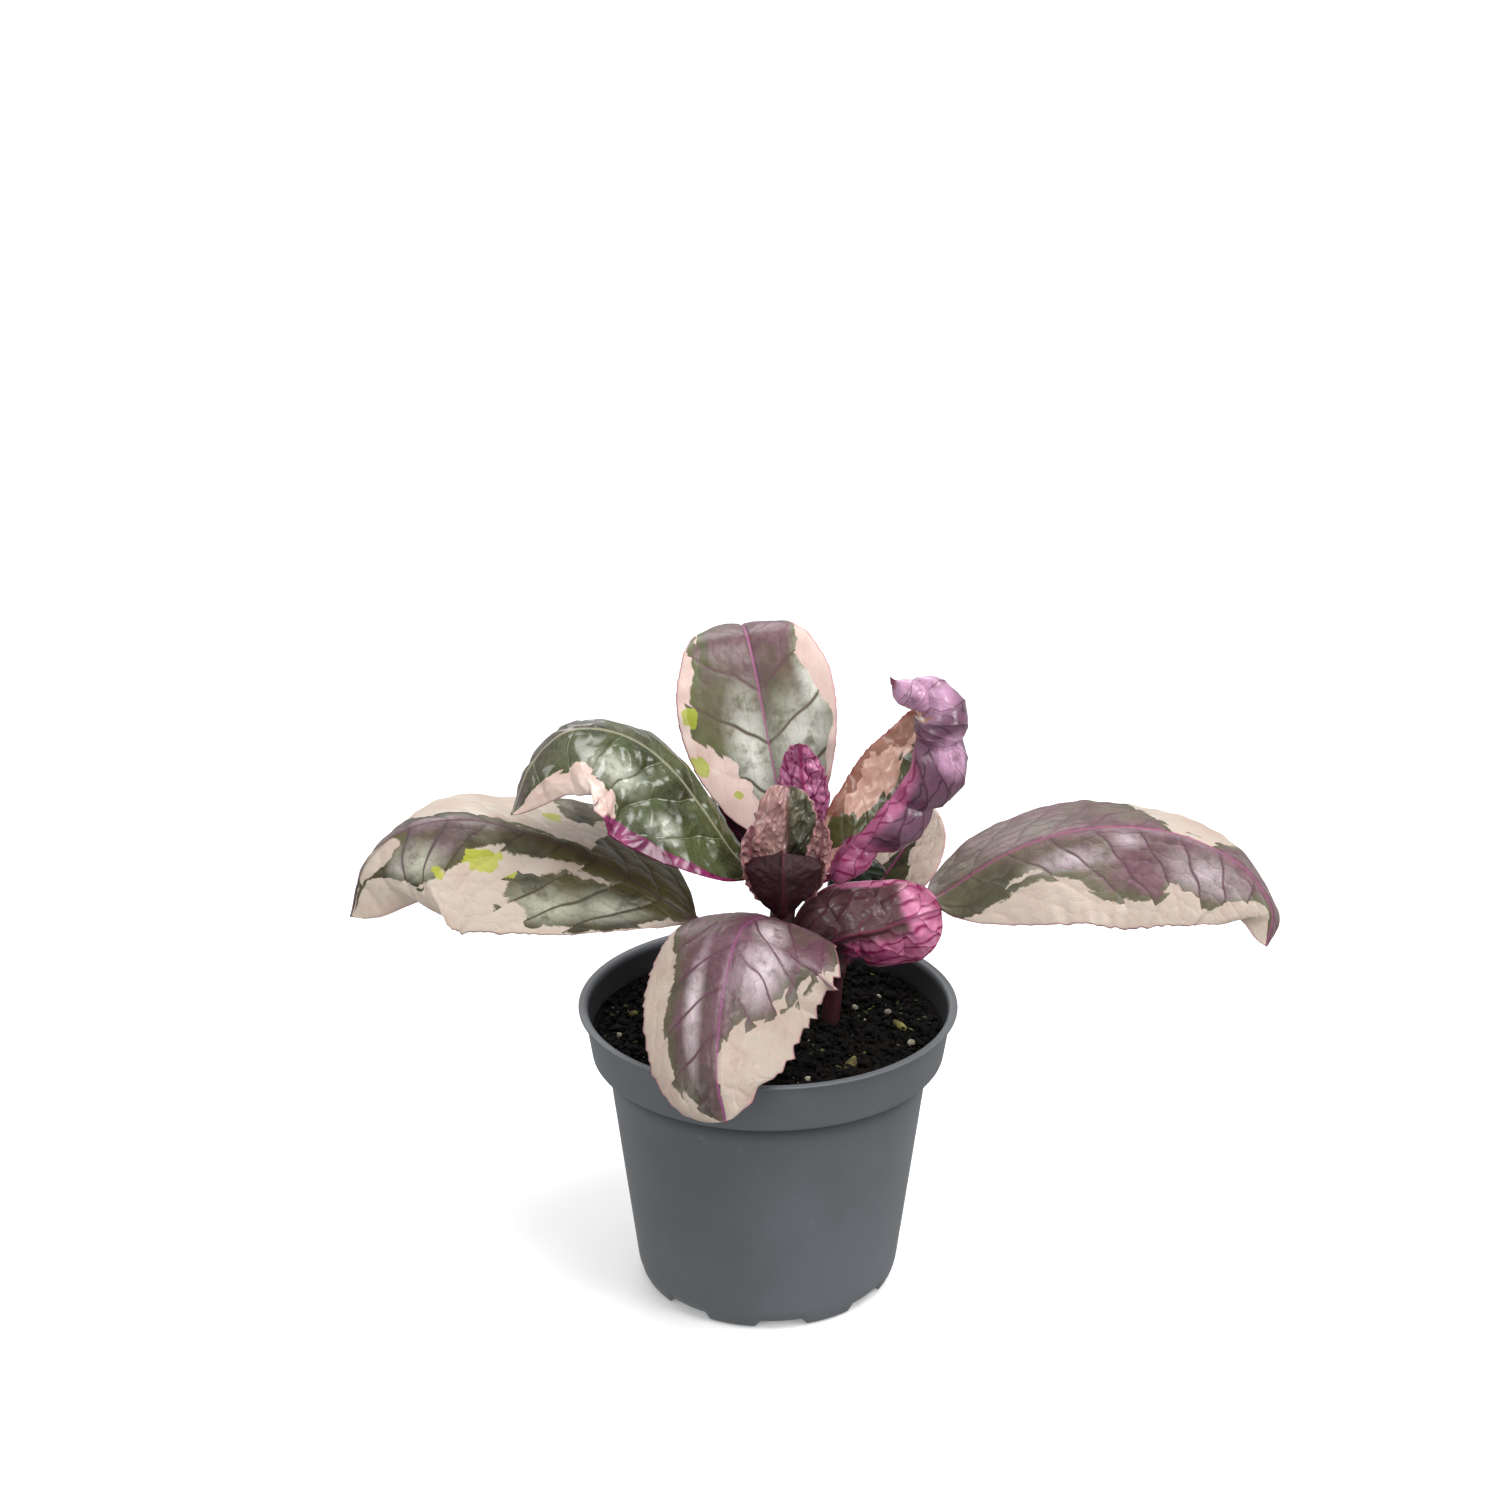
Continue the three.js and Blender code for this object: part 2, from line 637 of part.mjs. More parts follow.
function leafSolid(leaf) {
  const curve = new THREE.CatmullRomCurve3(vectors(leaf.spine));
  const petiole = leaf.young ? YOUNG_PETIOLE_RADIUS : PETIOLE_RADIUS;
  const stations = leaf.young ? YOUNG_STATIONS : BLADE_STATIONS;
  const flatSteps = leaf.young ? YOUNG_STEPS : BLADE_STEPS;
  const halfSteps = [flatSteps, leaf.rolled ? 2 * flatSteps + 1 : flatSteps];
  const rings = [];
  for (let station = 0; station <= stations; station += 1) {
    const share = station / stations;
    const along = Math.max(0, (share - leaf.bare) / (1 - leaf.bare));
    const radius = THREE.MathUtils.lerp(petiole, TIP_RADIUS, along);
    const middle = curve.getPointAt(share);
    const forward = curve.getTangentAt(share);
    const face = new THREE.Vector3(...[0, 1, 2].map((axis) => mix(leaf.face.map(
      (row) => new THREE.Vector3(...row).normalize().getComponent(axis),
    ), share)));
    const up = face.addScaledVector(forward, -face.dot(forward)).normalize();
    const right = new THREE.Vector3().crossVectors(forward, up);
    const place = ([out, lift], sign) => middle.clone()
      .addScaledVector(right, sign * out)
      .addScaledVector(up, lift);
    const halves = [0, 1].map((half) => halfSection(leaf, half, along, halfSteps[half], radius));
    const leftUp = halves[0].upper.map((point) => place(point, -1)).reverse();
    const rightUp = halves[1].upper.slice(1).map((point) => place(point, 1));
    const rightLow = halves[1].lower.slice(0, -1).map((point) => place(point, 1)).reverse();
    const leftLow = halves[0].lower.slice(1, -1).map((point) => place(point, -1));
    rings.push([...leftUp, ...rightUp, ...rightLow, ...leftLow]);
  }
  return skinned(rings);
}

// The leaf with its petiole's end fitted round its stem.
function leafOnStem(leaf) {
  return leafSolid(leaf).subtract(stem(leaf.stem, GAP));
}

// ---------------------------------------------------------------- grains on the soil

// Each grain lies in the soil surface: [x, y, across, flatness, turn in degrees].
const PERLITE = [
  [38.5, 8, 2.6, 0.8, 10],
  [36, 20, 2, 0.8, 40],
  [45, -12, 2.8, 0.8, 70],
  [12, -38, 2.4, 0.8, 20],
  [-47, -8, 2.4, 0.8, 55],
  [28, 12, 2.2, 0.8, 35],
];

const BARK = [
  [42, -2, 6, 0.4, 25],
  [26, -26, 8, 0.35, 60],
  [-44, 8, 6, 0.4, 120],
];

function grain([x, y, across, flatness, turn], stretch, grow) {
  const geometry = new THREE.IcosahedronGeometry(across / 2, 1);
  geometry.scale(1 + 2 * grow / across, stretch + 2 * grow / across, flatness + 2 * grow / across);
  geometry.rotateZ(THREE.MathUtils.degToRad(turn));
  geometry.translate(x, y, soilHeight + lump(x, y) + across * flatness * GRAIN_PROUD);
  return solidOf(geometry);
}

// ---------------------------------------------------------------- assembly

const model = new THREE.Group();
const plant = new THREE.Group();
plant.position.z = soilHeight;
model.add(plant);

function place(parent, name, solid, material) {
  const mesh = new THREE.Mesh(geometryOf(solid), material);
  mesh.name = name;
  parent.add(mesh);
}

place(model, 'pot', pot(), plastic());

let soil = soilBlock();
for (const name of Object.keys(STEMS)) {
  soil = soil.subtract(stem(name, GAP).translate([0, 0, soilHeight]));
  place(plant, name, stem(name, 0), stemSkin());
}
PERLITE.forEach((row, index) => {
  soil = soil.subtract(grain(row, 1, GAP));
  place(model, `perlite_${index + 1}`, grain(row, 1, 0), mineral());
});
BARK.forEach((row, index) => {
  soil = soil.subtract(grain(row, BARK_BREADTH, GAP));
  place(model, `bark_${index + 1}`, grain(row, BARK_BREADTH, 0), barkChip());
});
place(model, 'soil', soil, peat());

for (const [name, leaf] of Object.entries(LEAVES)) {
  place(plant, name, leafOnStem(leaf), leafSkin(leaf.color));
}

export default model;
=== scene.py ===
import math

import bpy
import numpy as np
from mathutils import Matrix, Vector


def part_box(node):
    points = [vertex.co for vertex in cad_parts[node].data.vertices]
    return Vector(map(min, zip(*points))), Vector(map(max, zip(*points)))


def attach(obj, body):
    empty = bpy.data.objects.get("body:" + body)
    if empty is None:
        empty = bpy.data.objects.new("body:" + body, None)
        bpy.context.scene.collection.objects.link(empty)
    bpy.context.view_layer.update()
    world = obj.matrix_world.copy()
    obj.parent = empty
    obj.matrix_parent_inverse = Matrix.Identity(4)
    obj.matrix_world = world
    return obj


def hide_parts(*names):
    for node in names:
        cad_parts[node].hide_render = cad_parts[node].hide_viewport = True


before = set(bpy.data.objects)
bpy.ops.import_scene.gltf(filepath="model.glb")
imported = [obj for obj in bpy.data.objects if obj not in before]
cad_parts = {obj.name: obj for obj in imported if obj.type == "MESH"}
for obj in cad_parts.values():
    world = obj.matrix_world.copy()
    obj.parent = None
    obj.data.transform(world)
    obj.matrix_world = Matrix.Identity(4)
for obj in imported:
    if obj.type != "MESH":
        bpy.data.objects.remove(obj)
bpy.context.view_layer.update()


# ---------------------------------------------------------------- pot
# A thin round nursery pot formed from one grey plastic sheet: a rolled lip, a tall stacking
# band, a shoulder, a tapered wall, and a foot pressed up into eight drainage notches.

pot_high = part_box("pot")[1]
RIM_RADIUS = pot_high.x
POT_HEIGHT = pot_high.z
SHEET = 0.001
FOOT_EDGE = 0.040
FOOT_RADIUS = 0.0420
FOOT_ROUND = 0.0040
WALL_TOP_RADIUS = 0.0512
WALL_TOP = 0.0770
BAND_RADIUS = 0.0558
BAND_LOW = 0.0782
LIP_DEPTH = 0.0008
LIP_REACH = 0.0018
CORNER_STEPS = 5
NOTCHES = 8
NOTCH_HEIGHT = 0.002
NOTCH_HALF_WIDTH = 0.0085
NOTCH_INNER_RADIUS = 0.027
NOTCH_TURN = math.radians(6)
DRAIN_RADIUS = 0.003
DRAIN_PLACE = 0.032
POT_AROUND = 360


def mesh_of(name, points, quads=(), triangles=()):
    """A mesh from point, quad and triangle arrays, smooth all over."""
    quads = np.asarray(quads, np.int32).reshape(-1, 4)
    triangles = np.asarray(triangles, np.int32).reshape(-1, 3)
    mesh = bpy.data.meshes.new(name)
    mesh.vertices.add(len(points))
    mesh.vertices.foreach_set("co", np.asarray(points, np.float32).ravel())
    corners = np.concatenate([quads.ravel(), triangles.ravel()])
    counts = np.concatenate([np.full(len(quads), 4), np.full(len(triangles), 3)])
    mesh.loops.add(len(corners))
    mesh.loops.foreach_set("vertex_index", corners)
    mesh.polygons.add(len(counts))
    mesh.polygons.foreach_set("loop_start", np.cumsum(counts) - counts)
    mesh.polygons.foreach_set("use_smooth", np.ones(len(counts), bool))
    mesh.update(calc_edges=True)
    mesh.validate()
    return mesh


def piece(name, mesh, finish, node):
    """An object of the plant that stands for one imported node."""
    thing = bpy.data.objects.new(name, mesh)
    bpy.context.scene.collection.objects.link(thing)
    thing.data.materials.append(finish)
    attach(thing, "root")
    if node:
        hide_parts(node)


def ring_quads(rows, around):
    """Quads of a grid whose points run round each row."""
    row = np.arange(rows - 1)[:, None]
    side = np.arange(around)[None]
    after = (side + 1) % around
    above = row + 1
    corners = [row * around + side, row * around + after, above * around + after, above * around + side]
    return np.stack(np.broadcast_arrays(*corners), -1).reshape(-1, 4)


def rounded(outline, radii):
    """The closed outline with each corner replaced by a quadratic curve that leaves the two
    sides its radius away from the corner."""
    outline = np.asarray(outline, float)
    before = np.roll(outline, 1, 0) - outline
    after = np.roll(outline, -1, 0) - outline
    share = np.linspace(0, 1, CORNER_STEPS)[:, None]
    curves = []
    for corner, back, ahead, radius in zip(outline, before, after, radii):
        start = corner + back * min(0.45, radius / np.linalg.norm(back))
        end = corner + ahead * min(0.45, radius / np.linalg.norm(ahead))
        curves.append((1 - share) ** 2 * start + 2 * share * (1 - share) * corner + share**2 * end)
    return np.concatenate(curves)


def end_fans(count, around):
    """Triangles that close a tube of this many points: the point after them joins the first
    ring, and the next point joins the last ring."""
    side = np.arange(around)
    after = (side + 1) % around
    last = count - around
    return np.concatenate([
        np.stack([np.full(around, count), after, side], 1),
        np.stack([np.full(around, count + 1), last + side, last + after], 1),
    ])


def smooth_step(value, low, high):
    """From 0 at low to 1 at high, level at both: three squares less two cubes."""
    share = np.clip((value - low) / (high - low), 0, 1)
    return share * share * (3 - 2 * share)


def notch_lift(radius, angle):
    """How far the foot is pressed up: full height within half a notch's width of each notch's
    middle line, sloping to nothing at its sides and at its inner end."""
    turn = 2 * math.pi / NOTCHES
    off = (angle - NOTCH_TURN + math.pi / 2 + turn / 2) % turn - turn / 2
    sideways = np.abs(radius * np.sin(off))
    across = 1 - smooth_step(sideways, NOTCH_HALF_WIDTH - 0.0022, NOTCH_HALF_WIDTH)
    inward = smooth_step(radius, NOTCH_INNER_RADIUS - 0.002, NOTCH_INNER_RADIUS)
    return NOTCH_HEIGHT * across * inward


def pot_mesh():
    """The sheet's closed outline carried round the axis, with the foot lifted at the notches."""
    lip_low = POT_HEIGHT - LIP_DEPTH
    band_top = RIM_RADIUS - LIP_REACH
    outside = [
        (0.0, 0.0, 0.0), (FOOT_EDGE, 0.0, 0.0016), (FOOT_RADIUS, FOOT_ROUND, 0.003),
        (WALL_TOP_RADIUS, WALL_TOP, 0.0012), (BAND_RADIUS, BAND_LOW, 0.0012),
        (band_top, lip_low - 0.0004, 0.0004), (RIM_RADIUS, lip_low, 0.0003),
        (RIM_RADIUS, POT_HEIGHT, 0.0004), (band_top - SHEET, POT_HEIGHT, 0.0012),
    ]
    inside = [
        (BAND_RADIUS - SHEET, BAND_LOW + SHEET, 0.0012),
        (WALL_TOP_RADIUS - SHEET, WALL_TOP + SHEET, 0.0012),
        (FOOT_RADIUS - SHEET, FOOT_ROUND + SHEET, 0.003), (FOOT_EDGE - SHEET, SHEET, 0.0016),
        (0.0, SHEET, 0.0),
    ]
    rows = np.array(outside + inside)
    turned = rounded(rows[1:-1, :2], rows[1:-1, 2])
    foot = np.linspace(0.004, 0.036, 25)
    under = np.stack([foot, np.zeros_like(foot)], 1)
    over = np.stack([foot[::-1], np.full_like(foot, SHEET)], 1)
    wall = 2 * CORNER_STEPS
    climb = between(turned[wall - 1], turned[wall], 24)
    outline = np.concatenate([under, turned[:wall], climb, turned[wall:], over])
    angle = np.linspace(0, 2 * math.pi, POT_AROUND, endpoint=False)[None]
    radius = outline[:, :1] + 0 * angle
    height = outline[:, 1:] + notch_lift(radius, angle) * (1 - smooth_step(outline[:, 1:], 0.002, 0.006))
    points = np.stack([radius * np.cos(angle), radius * np.sin(angle), height], -1)
    count = len(outline)
    points = np.concatenate([points.reshape(-1, 3), [(0, 0, 0), (0, 0, SHEET)]])
    caps = end_fans(count * POT_AROUND, POT_AROUND)
    return mesh_of("pot_sheet", points, ring_quads(count, POT_AROUND), caps)


def between(start, end, steps):
    """Points strictly between two outline points."""
    share = np.linspace(0, 1, steps + 2)[1:-1, None]
    return start + (end - start) * share


def drain_cutter():
    """Eight short upright rods, one through the roof of each notch."""
    sides = 24
    turn = NOTCH_TURN - math.pi / 2 + np.arange(NOTCHES) * 2 * math.pi / NOTCHES
    angle = np.linspace(0, 2 * math.pi, sides, endpoint=False)
    ring = DRAIN_RADIUS * np.stack([np.cos(angle), np.sin(angle)], 1)
    middle = DRAIN_PLACE * np.stack([np.cos(turn), np.sin(turn)], 1)
    flat = middle[:, None, :] + ring[None]
    low = np.concatenate([flat, np.full((NOTCHES, sides, 1), -0.002)], 2)
    high = np.concatenate([flat, np.full((NOTCHES, sides, 1), 0.008)], 2)
    points = np.concatenate([low, high], 1).reshape(-1, 3)
    mesh = bpy.data.meshes.new("drain_rods")
    faces = []
    for rod in range(NOTCHES):
        low = rod * 2 * sides
        high = low + sides
        faces.append([low + side for side in reversed(range(sides))])
        faces.append([high + side for side in range(sides)])
        for side in range(sides):
            after = (side + 1) % sides
            faces.append([low + side, low + after, high + after, high + side])
    mesh.from_pydata(points.tolist(), [], faces)
    return mesh


def with_drains(mesh):
    """The pot's mesh with its drain holes cut."""
    body = bpy.data.objects.new("pot_blank", mesh)
    rods = bpy.data.objects.new("drain_rods", drain_cutter())
    for thing in (body, rods):
        bpy.context.scene.collection.objects.link(thing)
    cut = body.modifiers.new("drains", "BOOLEAN")
    cut.operation = "DIFFERENCE"
    cut.solver = "EXACT"
    cut.object = rods
    graph = bpy.context.evaluated_depsgraph_get()
    result = bpy.data.meshes.new_from_object(body.evaluated_get(graph))
    for thing in (body, rods):
        bpy.data.objects.remove(thing)
    return result


def paint(code):
    """Linear colour of a six-figure hexadecimal paint code."""
    shares = np.array([int(code[place:place + 2], 16) / 255 for place in (0, 2, 4)])
    linear = np.where(shares <= 0.04045, shares / 12.92, ((shares + 0.055) / 1.055) ** 2.4)
    return (*(float(share) for share in linear), 1.0)


class Wire:
    """A node's output. Arithmetic on wires adds Math nodes to the finish they belong to."""

    def __init__(self, finish, socket):
        self.finish = finish
        self.socket = socket

    def maths(self, operation, *others):
        values = dict(enumerate([self, *others]))
        return self.finish.node("ShaderNodeMath", {"operation": operation}, values)

    def __add__(self, other):
        return self.maths("ADD", other)

    def __sub__(self, other):
        return self.maths("SUBTRACT", other)

    def __mul__(self, other):
        return self.maths("MULTIPLY", other)

    def __rsub__(self, other):
        return self.finish.node("ShaderNodeMath", {"operation": "SUBTRACT"}, {0: other, 1: self})

    __radd__ = __add__
    __rmul__ = __mul__

    def absolute(self):
        return self.maths("ABSOLUTE")

    def fraction(self):
        return self.maths("FRACT")

    def greatest(self, other):
        return self.maths("MAXIMUM", other)

    def ramp(self, low, high, start=0.0, end=1.0):
        """Smoothly from start to end while the wire goes from low to high."""
        return self.finish.node(
            "ShaderNodeMapRange", {"interpolation_type": "SMOOTHSTEP"},
            {"Value": self, "From Min": low, "From Max": high, "To Min": start, "To Max": end})


class Finish:
    """A material being mixed, with its main surface node."""

    def __init__(self, name):
        self.material = bpy.data.materials.new(name)
        self.material.use_nodes = True
        self.tree = self.material.node_tree
        self.surface = self.tree.nodes["Principled BSDF"]

    def node(self, kind, settings, values, output=0):
        """Adds a node: its settings first, then its sockets' values or links."""
        made = self.tree.nodes.new(kind)
        for name, setting in settings.items():
            setattr(made, name, setting)
        for name, value in values.items():
            self.feed(made.inputs[name], value)
        return Wire(self, made.outputs[output])

    def feed(self, socket, value):
        if isinstance(value, Wire):
            self.tree.links.new(value.socket, socket)
        else:
            socket.default_value = value

    def set(self, **values):
        """Feeds the main surface; underscores in the names stand for spaces."""
        for name, value in values.items():
            self.feed(self.surface.inputs[name.replace("_", " ")], value)

    def mix(self, first, second, share):
        return self.node(
            "ShaderNodeMix", {"data_type": "RGBA", "clamp_factor": True},
            {"Factor": share, 6: first, 7: second}, 2)

    def place(self):
        """Object coordinates, in metres."""
        return self.node("ShaderNodeTexCoord", {}, {}, 3)

    def axes(self, where, count):
        """The first numbers of a place."""
        return [self.node("ShaderNodeSeparateXYZ", {}, {"Vector": where}, axis) for axis in range(count)]

    def mark(self, name):
        """The number that a mesh stores under this name."""
        return self.node("ShaderNodeAttribute", {"attribute_name": name}, {}, 2)

    def noise(self, where, scale, detail=3.0, rough=0.5):
        return self.node(
            "ShaderNodeTexNoise", {},
            {"Vector": where, "Scale": scale, "Detail": detail, "Roughness": rough})

    def bump(self, height, distance, strength):
        lift = self.node(
            "ShaderNodeBump", {}, {"Height": height, "Distance": distance, "Strength": strength})
        self.set(Normal=lift)


BAND_START = 0.079
BAND_RISE = 0.0152
BAND_LEAN = RIM_RADIUS - 0.0576
SHEET_MIDDLE = 0.0553


def pot_finish():
    """Satin grey plastic: a fine pebble from the mould, faint cloudiness, and light scuffs.
    The inner face of the band is painted near-black as shade, and made rougher, up to just below the lip."""
    finish = Finish("pot_plastic")
    where = finish.place()
    cloud = finish.noise(where, 18.0, 4.0)
    scuff = finish.noise(where, 140.0, 6.0, 0.7).ramp(0.62, 0.75)
    patch = finish.noise(where, 26.0, 2.0).ramp(0.5, 0.72)
    grey = finish.mix(paint("56595c"), paint("61656a"), cloud.ramp(0.3, 0.7))
    grey = finish.mix(grey, paint("a3a7aa"), scuff * patch * 0.35)
    x, y, z = finish.axes(where, 3)
    radius = (x * x + y * y).maths("SQRT")
    middle = z * (BAND_LEAN / BAND_RISE) + SHEET_MIDDLE - BAND_START * BAND_LEAN / BAND_RISE
    inside = (middle - radius).ramp(-0.0001, 0.0001)
    # painted shade: the inner face of the band above the soil is mixed towards near-black
    band_shade = inside * z.ramp(0.07, BAND_START) * z.ramp(0.0925, 0.0945, 1.0, 0.0)
    finish.set(
        Base_Color=finish.mix(grey, paint("0d0c0a"), band_shade * 0.93), Specular_IOR_Level=0.45,
        Roughness=0.4 + 0.12 * cloud + 0.18 * scuff * patch + 0.35 * band_shade)
    finish.bump(finish.noise(where, 900.0, 2.0), 0.00008, 0.35)
    return finish.material


piece("pot_body", with_drains(pot_mesh()), pot_finish(), "pot")

# ---------------------------------------------------------------- soil
# Dark peat filled to just below the lip: a lumpy top, then a plug that follows the wall down.

SOIL_LEVEL = POT_HEIGHT - 0.009
SOIL_RELIEF = 0.0014
SOIL_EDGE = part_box("soil")[1].x
SOIL_FLOOR = 0.0034
MM = 0.001


def soil_height(x, y):
    """Height of the lumpy top, in metres: two slow waves that cross, as in the packed soil."""
    x = x / MM
    y = y / MM
    broad = np.sin(x * 0.16 + 1.1) * np.cos(y * 0.19 - 0.4)
    fine = np.sin(x * 0.47 - y * 0.31) * np.sin(y * 0.52 + 0.8)
    return SOIL_LEVEL + SOIL_RELIEF * (0.6 * broad + 0.4 * fine)


def drift(x, y, seed):
    """A smooth uneven field between about -1 and 1: seven plane waves of mixed heading,
    frequency near one wave per unit and random phase, added up."""
    count = 7
    draw = np.random.default_rng(seed)
    heading = draw.uniform(0, 2 * math.pi, count)
    pace = draw.uniform(3.5, 8.5, count)
    start = draw.uniform(0, 2 * math.pi, count)
    total = 0.0
    for turn, fast, phase in zip(heading, pace, start):
        total = total + np.sin(fast * (x * math.cos(turn) + y * math.sin(turn)) + phase)
    return total / count * 1.6


def soil_mesh():
    """A disc of rings whose heights follow the lumps with finer crumbs on them, and a skirt
    that follows the pot's inner wall down to its floor, closed by a point at each end."""
    around = 400
    rings = 200
    angle = np.linspace(0, 2 * math.pi, around, endpoint=False)[None]
    radius = (SOIL_EDGE * np.linspace(1, 1 / rings, rings))[:, None]
    x = radius * np.cos(angle)
    y = radius * np.sin(angle)
    crumb = np.abs(drift(x / 0.004, y / 0.004, 3)) * 0.9 + drift(x / 0.0017, y / 0.0017, 4) * 0.45
    fade = np.clip((SOIL_EDGE - radius) / 0.002, 0, 1)
    z = soil_height(x, y) * fade + SOIL_LEVEL * (1 - fade) + (crumb - 0.5) * MM * fade
    top = np.stack([x, y, z], -1)
    skirt = np.array([(0.0404, SOIL_FLOOR), (0.0495, 0.0755), (0.0544, 0.0790)])
    wall = np.stack([
        skirt[:, :1] * np.cos(angle), skirt[:, :1] * np.sin(angle), skirt[:, 1:] + 0 * angle], -1)
    rows = np.concatenate([wall, top])
    caps = end_fans(len(rows) * around, around)
    middle = float(soil_height(0.0, 0.0))
    points = np.concatenate([rows.reshape(-1, 3), [(0, 0, SOIL_FLOOR), (0, 0, middle)]])
    return mesh_of("soil_plug", points, ring_quads(len(rows), around), caps)


def soil_finish():
    """Moist peat: near-black brown, paler and redder in fine flecks."""
    finish = Finish("peat")
    where = finish.place()
    patch = finish.noise(where, 90.0, 4.0)
    grit = finish.noise(where, 700.0, 4.0, 0.7)
    brown = finish.mix(paint("050403"), paint("0e0a06"), patch.ramp(0.35, 0.7))
    finish.set(Base_Color=finish.mix(brown, paint("271e12"), grit.ramp(0.62, 0.82) * 0.4))
    finish.set(Roughness=0.92 - 0.35 * grit.ramp(0.3, 0.45, 1.0, 0.0), Specular_IOR_Level=0.15)
    finish.bump(grit, 0.0008, 0.7)
    return finish.material


peat = soil_finish()
piece("soil_plug", soil_mesh(), peat, "soil")


# ---------------------------------------------------------------- crumbs
# Loose crumbs of peat, perlite beads and dust, bark chips and specks of moss that lie on the
# soil. The large beads and chips, in millimetres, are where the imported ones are.

def unit(rows):
    """Each row divided by its length."""
    return rows / np.linalg.norm(rows, axis=-1, keepdims=True)


def lump_shape():
    """The twelve corners and twenty faces of a regular icosahedron of radius one."""
    golden = (1 + 5 ** 0.5) / 2
    corners = []
    for one in (-1, 1):
        for other in (-golden, golden):
            corners += [(0, one, other), (one, other, 0), (other, 0, one)]
    corners = unit(np.array(corners, float))
    near = np.linalg.norm(corners[:, None] - corners[None], axis=-1) < 1.1
    faces = []
    for a in range(12):
        for b in range(a + 1, 12):
            for c in range(b + 1, 12):
                if near[a, b] and near[b, c] and near[a, c]:
                    middle = corners[[a, b, c]].sum(0)
                    turn = np.cross(corners[b] - corners[a], corners[c] - corners[a])
                    faces.append((a, b, c) if turn @ middle > 0 else (a, c, b))
    return corners, np.array(faces)


def scattered(draw, count, low, high):
    """Random places on the soil, evenly over its disc between two radii."""
    radius = np.sqrt(draw.uniform(low**2, high**2, count))
    angle = draw.uniform(0, 2 * math.pi, count)
    return radius * np.cos(angle), radius * np.sin(angle)


def lumps(draw, x, y, size, stretch, rough, proud=0.3, split=0):
    """One mesh of many lumps: each a jittered icosahedron, stretched, turned at random and
    set into the soil with the given share of its height proud."""
    corners, faces = lump_shape()
    for _ in range(split):
        corners, faces = finer(corners, faces)
    count = len(x)
    shape = np.repeat(corners[None], count, 0) * (1 + rough * draw.uniform(-1, 1, (count, len(corners), 1)))
    shape = shape * (size[:, None, None] / 2) * np.asarray(stretch)
    turn = draw.uniform(0, 2 * math.pi, count)
    tilt = draw.normal(0, 0.45, count)
    cos, sin = np.cos(tilt)[:, None], np.sin(tilt)[:, None]
    along = shape[..., 0] * cos - shape[..., 2] * sin
    high = shape[..., 0] * sin + shape[..., 2] * cos
    cos, sin = np.cos(turn)[:, None], np.sin(turn)[:, None]
    points = np.stack([
        x[:, None] + along * cos - shape[..., 1] * sin,
        y[:, None] + along * sin + shape[..., 1] * cos,
        soil_height(x, y)[:, None] + high + (proud * size * stretch[2])[:, None],
    ], -1)
    triangles = faces[None] + (np.arange(count) * len(corners))[:, None, None]
    return points.reshape(-1, 3), triangles.reshape(-1, 3)


def finer(corners, faces):
    """Each face cut in four by the middles of its edges, pushed out to radius one."""
    edges = np.sort(faces[:, [0, 1, 1, 2, 2, 0]].reshape(-1, 2), axis=1)
    found, index = np.unique(edges, axis=0, return_inverse=True)
    middles = len(corners) + index.reshape(-1, 3)
    corners = np.concatenate([corners, unit(corners[found].sum(1))])
    a, b, c = faces.T
    ab, bc, ca = middles.T
    cut = [(a, ab, ca), (ab, b, bc), (ca, bc, c), (ab, bc, ca)]
    return corners, np.concatenate([np.stack(face, 1) for face in cut])


def crumb_mesh(draw):
    """Flat-faced crumbs, many small and few large."""
    x, y = scattered(draw, 3600, 0.0, SOIL_EDGE - 0.001)
    size = 0.0008 + 0.0028 * draw.uniform(0, 1, len(x)) ** 3
    keep = x**2 + y**2 < (SOIL_EDGE - 0.0006 - size / 2) ** 2
    points, triangles = lumps(draw, x[keep], y[keep], size[keep], (1.25, 0.9, 0.7), 0.28)
    mesh = mesh_of("peat_crumbs", points, triangles=triangles)
    mesh.polygons.foreach_set("use_smooth", np.zeros(len(mesh.polygons), bool))
    return mesh


def grain_finish(name, dark, light, gloss, grit_scale):
    """A mineral or woody grain in two tones, finely pitted."""
    finish = Finish(name)
    where = finish.place()
    patch = finish.noise(where, grit_scale, 3.0)
    tone = finish.mix(paint(dark), paint(light), patch.ramp(0.35, 0.65))
    finish.set(Base_Color=tone, Roughness=gloss + 0.1 * patch)
    finish.bump(finish.noise(where, grit_scale * 4, 3.0), 0.0004, 0.6)
    return finish.material


draw = np.random.default_rng(12)
piece("peat_crumbs", crumb_mesh(draw), peat, None)


def strewn(name, x, y, size, stretch, rough, proud, split, finish, node):
    """A piece made of the lumps at these places."""
    points, triangles = lumps(draw, np.array(x), np.array(y), np.array(size), stretch, rough, proud, split)
    piece(name, mesh_of(name, points, triangles=triangles), finish, node)


PERLITE = [
    (38.5, 8, 2.6), (36, 20, 2), (45, -12, 2.8), (12, -38, 2.4), (-47, -8, 2.4), (28, 12, 2.2),
]
BARK = [(42, -2, 6), (26, -26, 8), (-44, 8, 6)]
DUST = 60
MOSS = 150

perlite_finish = grain_finish("perlite", "7d7666", "aaa493", 0.75, 500.0)
for place, (x, y, across) in enumerate(PERLITE, 1):
    strewn(f"perlite_bead_{place}", [x * MM], [y * MM], [across * MM], (1.0, 0.95, 0.8), 0.09, 0.25, 2,
           perlite_finish, f"perlite_{place}")

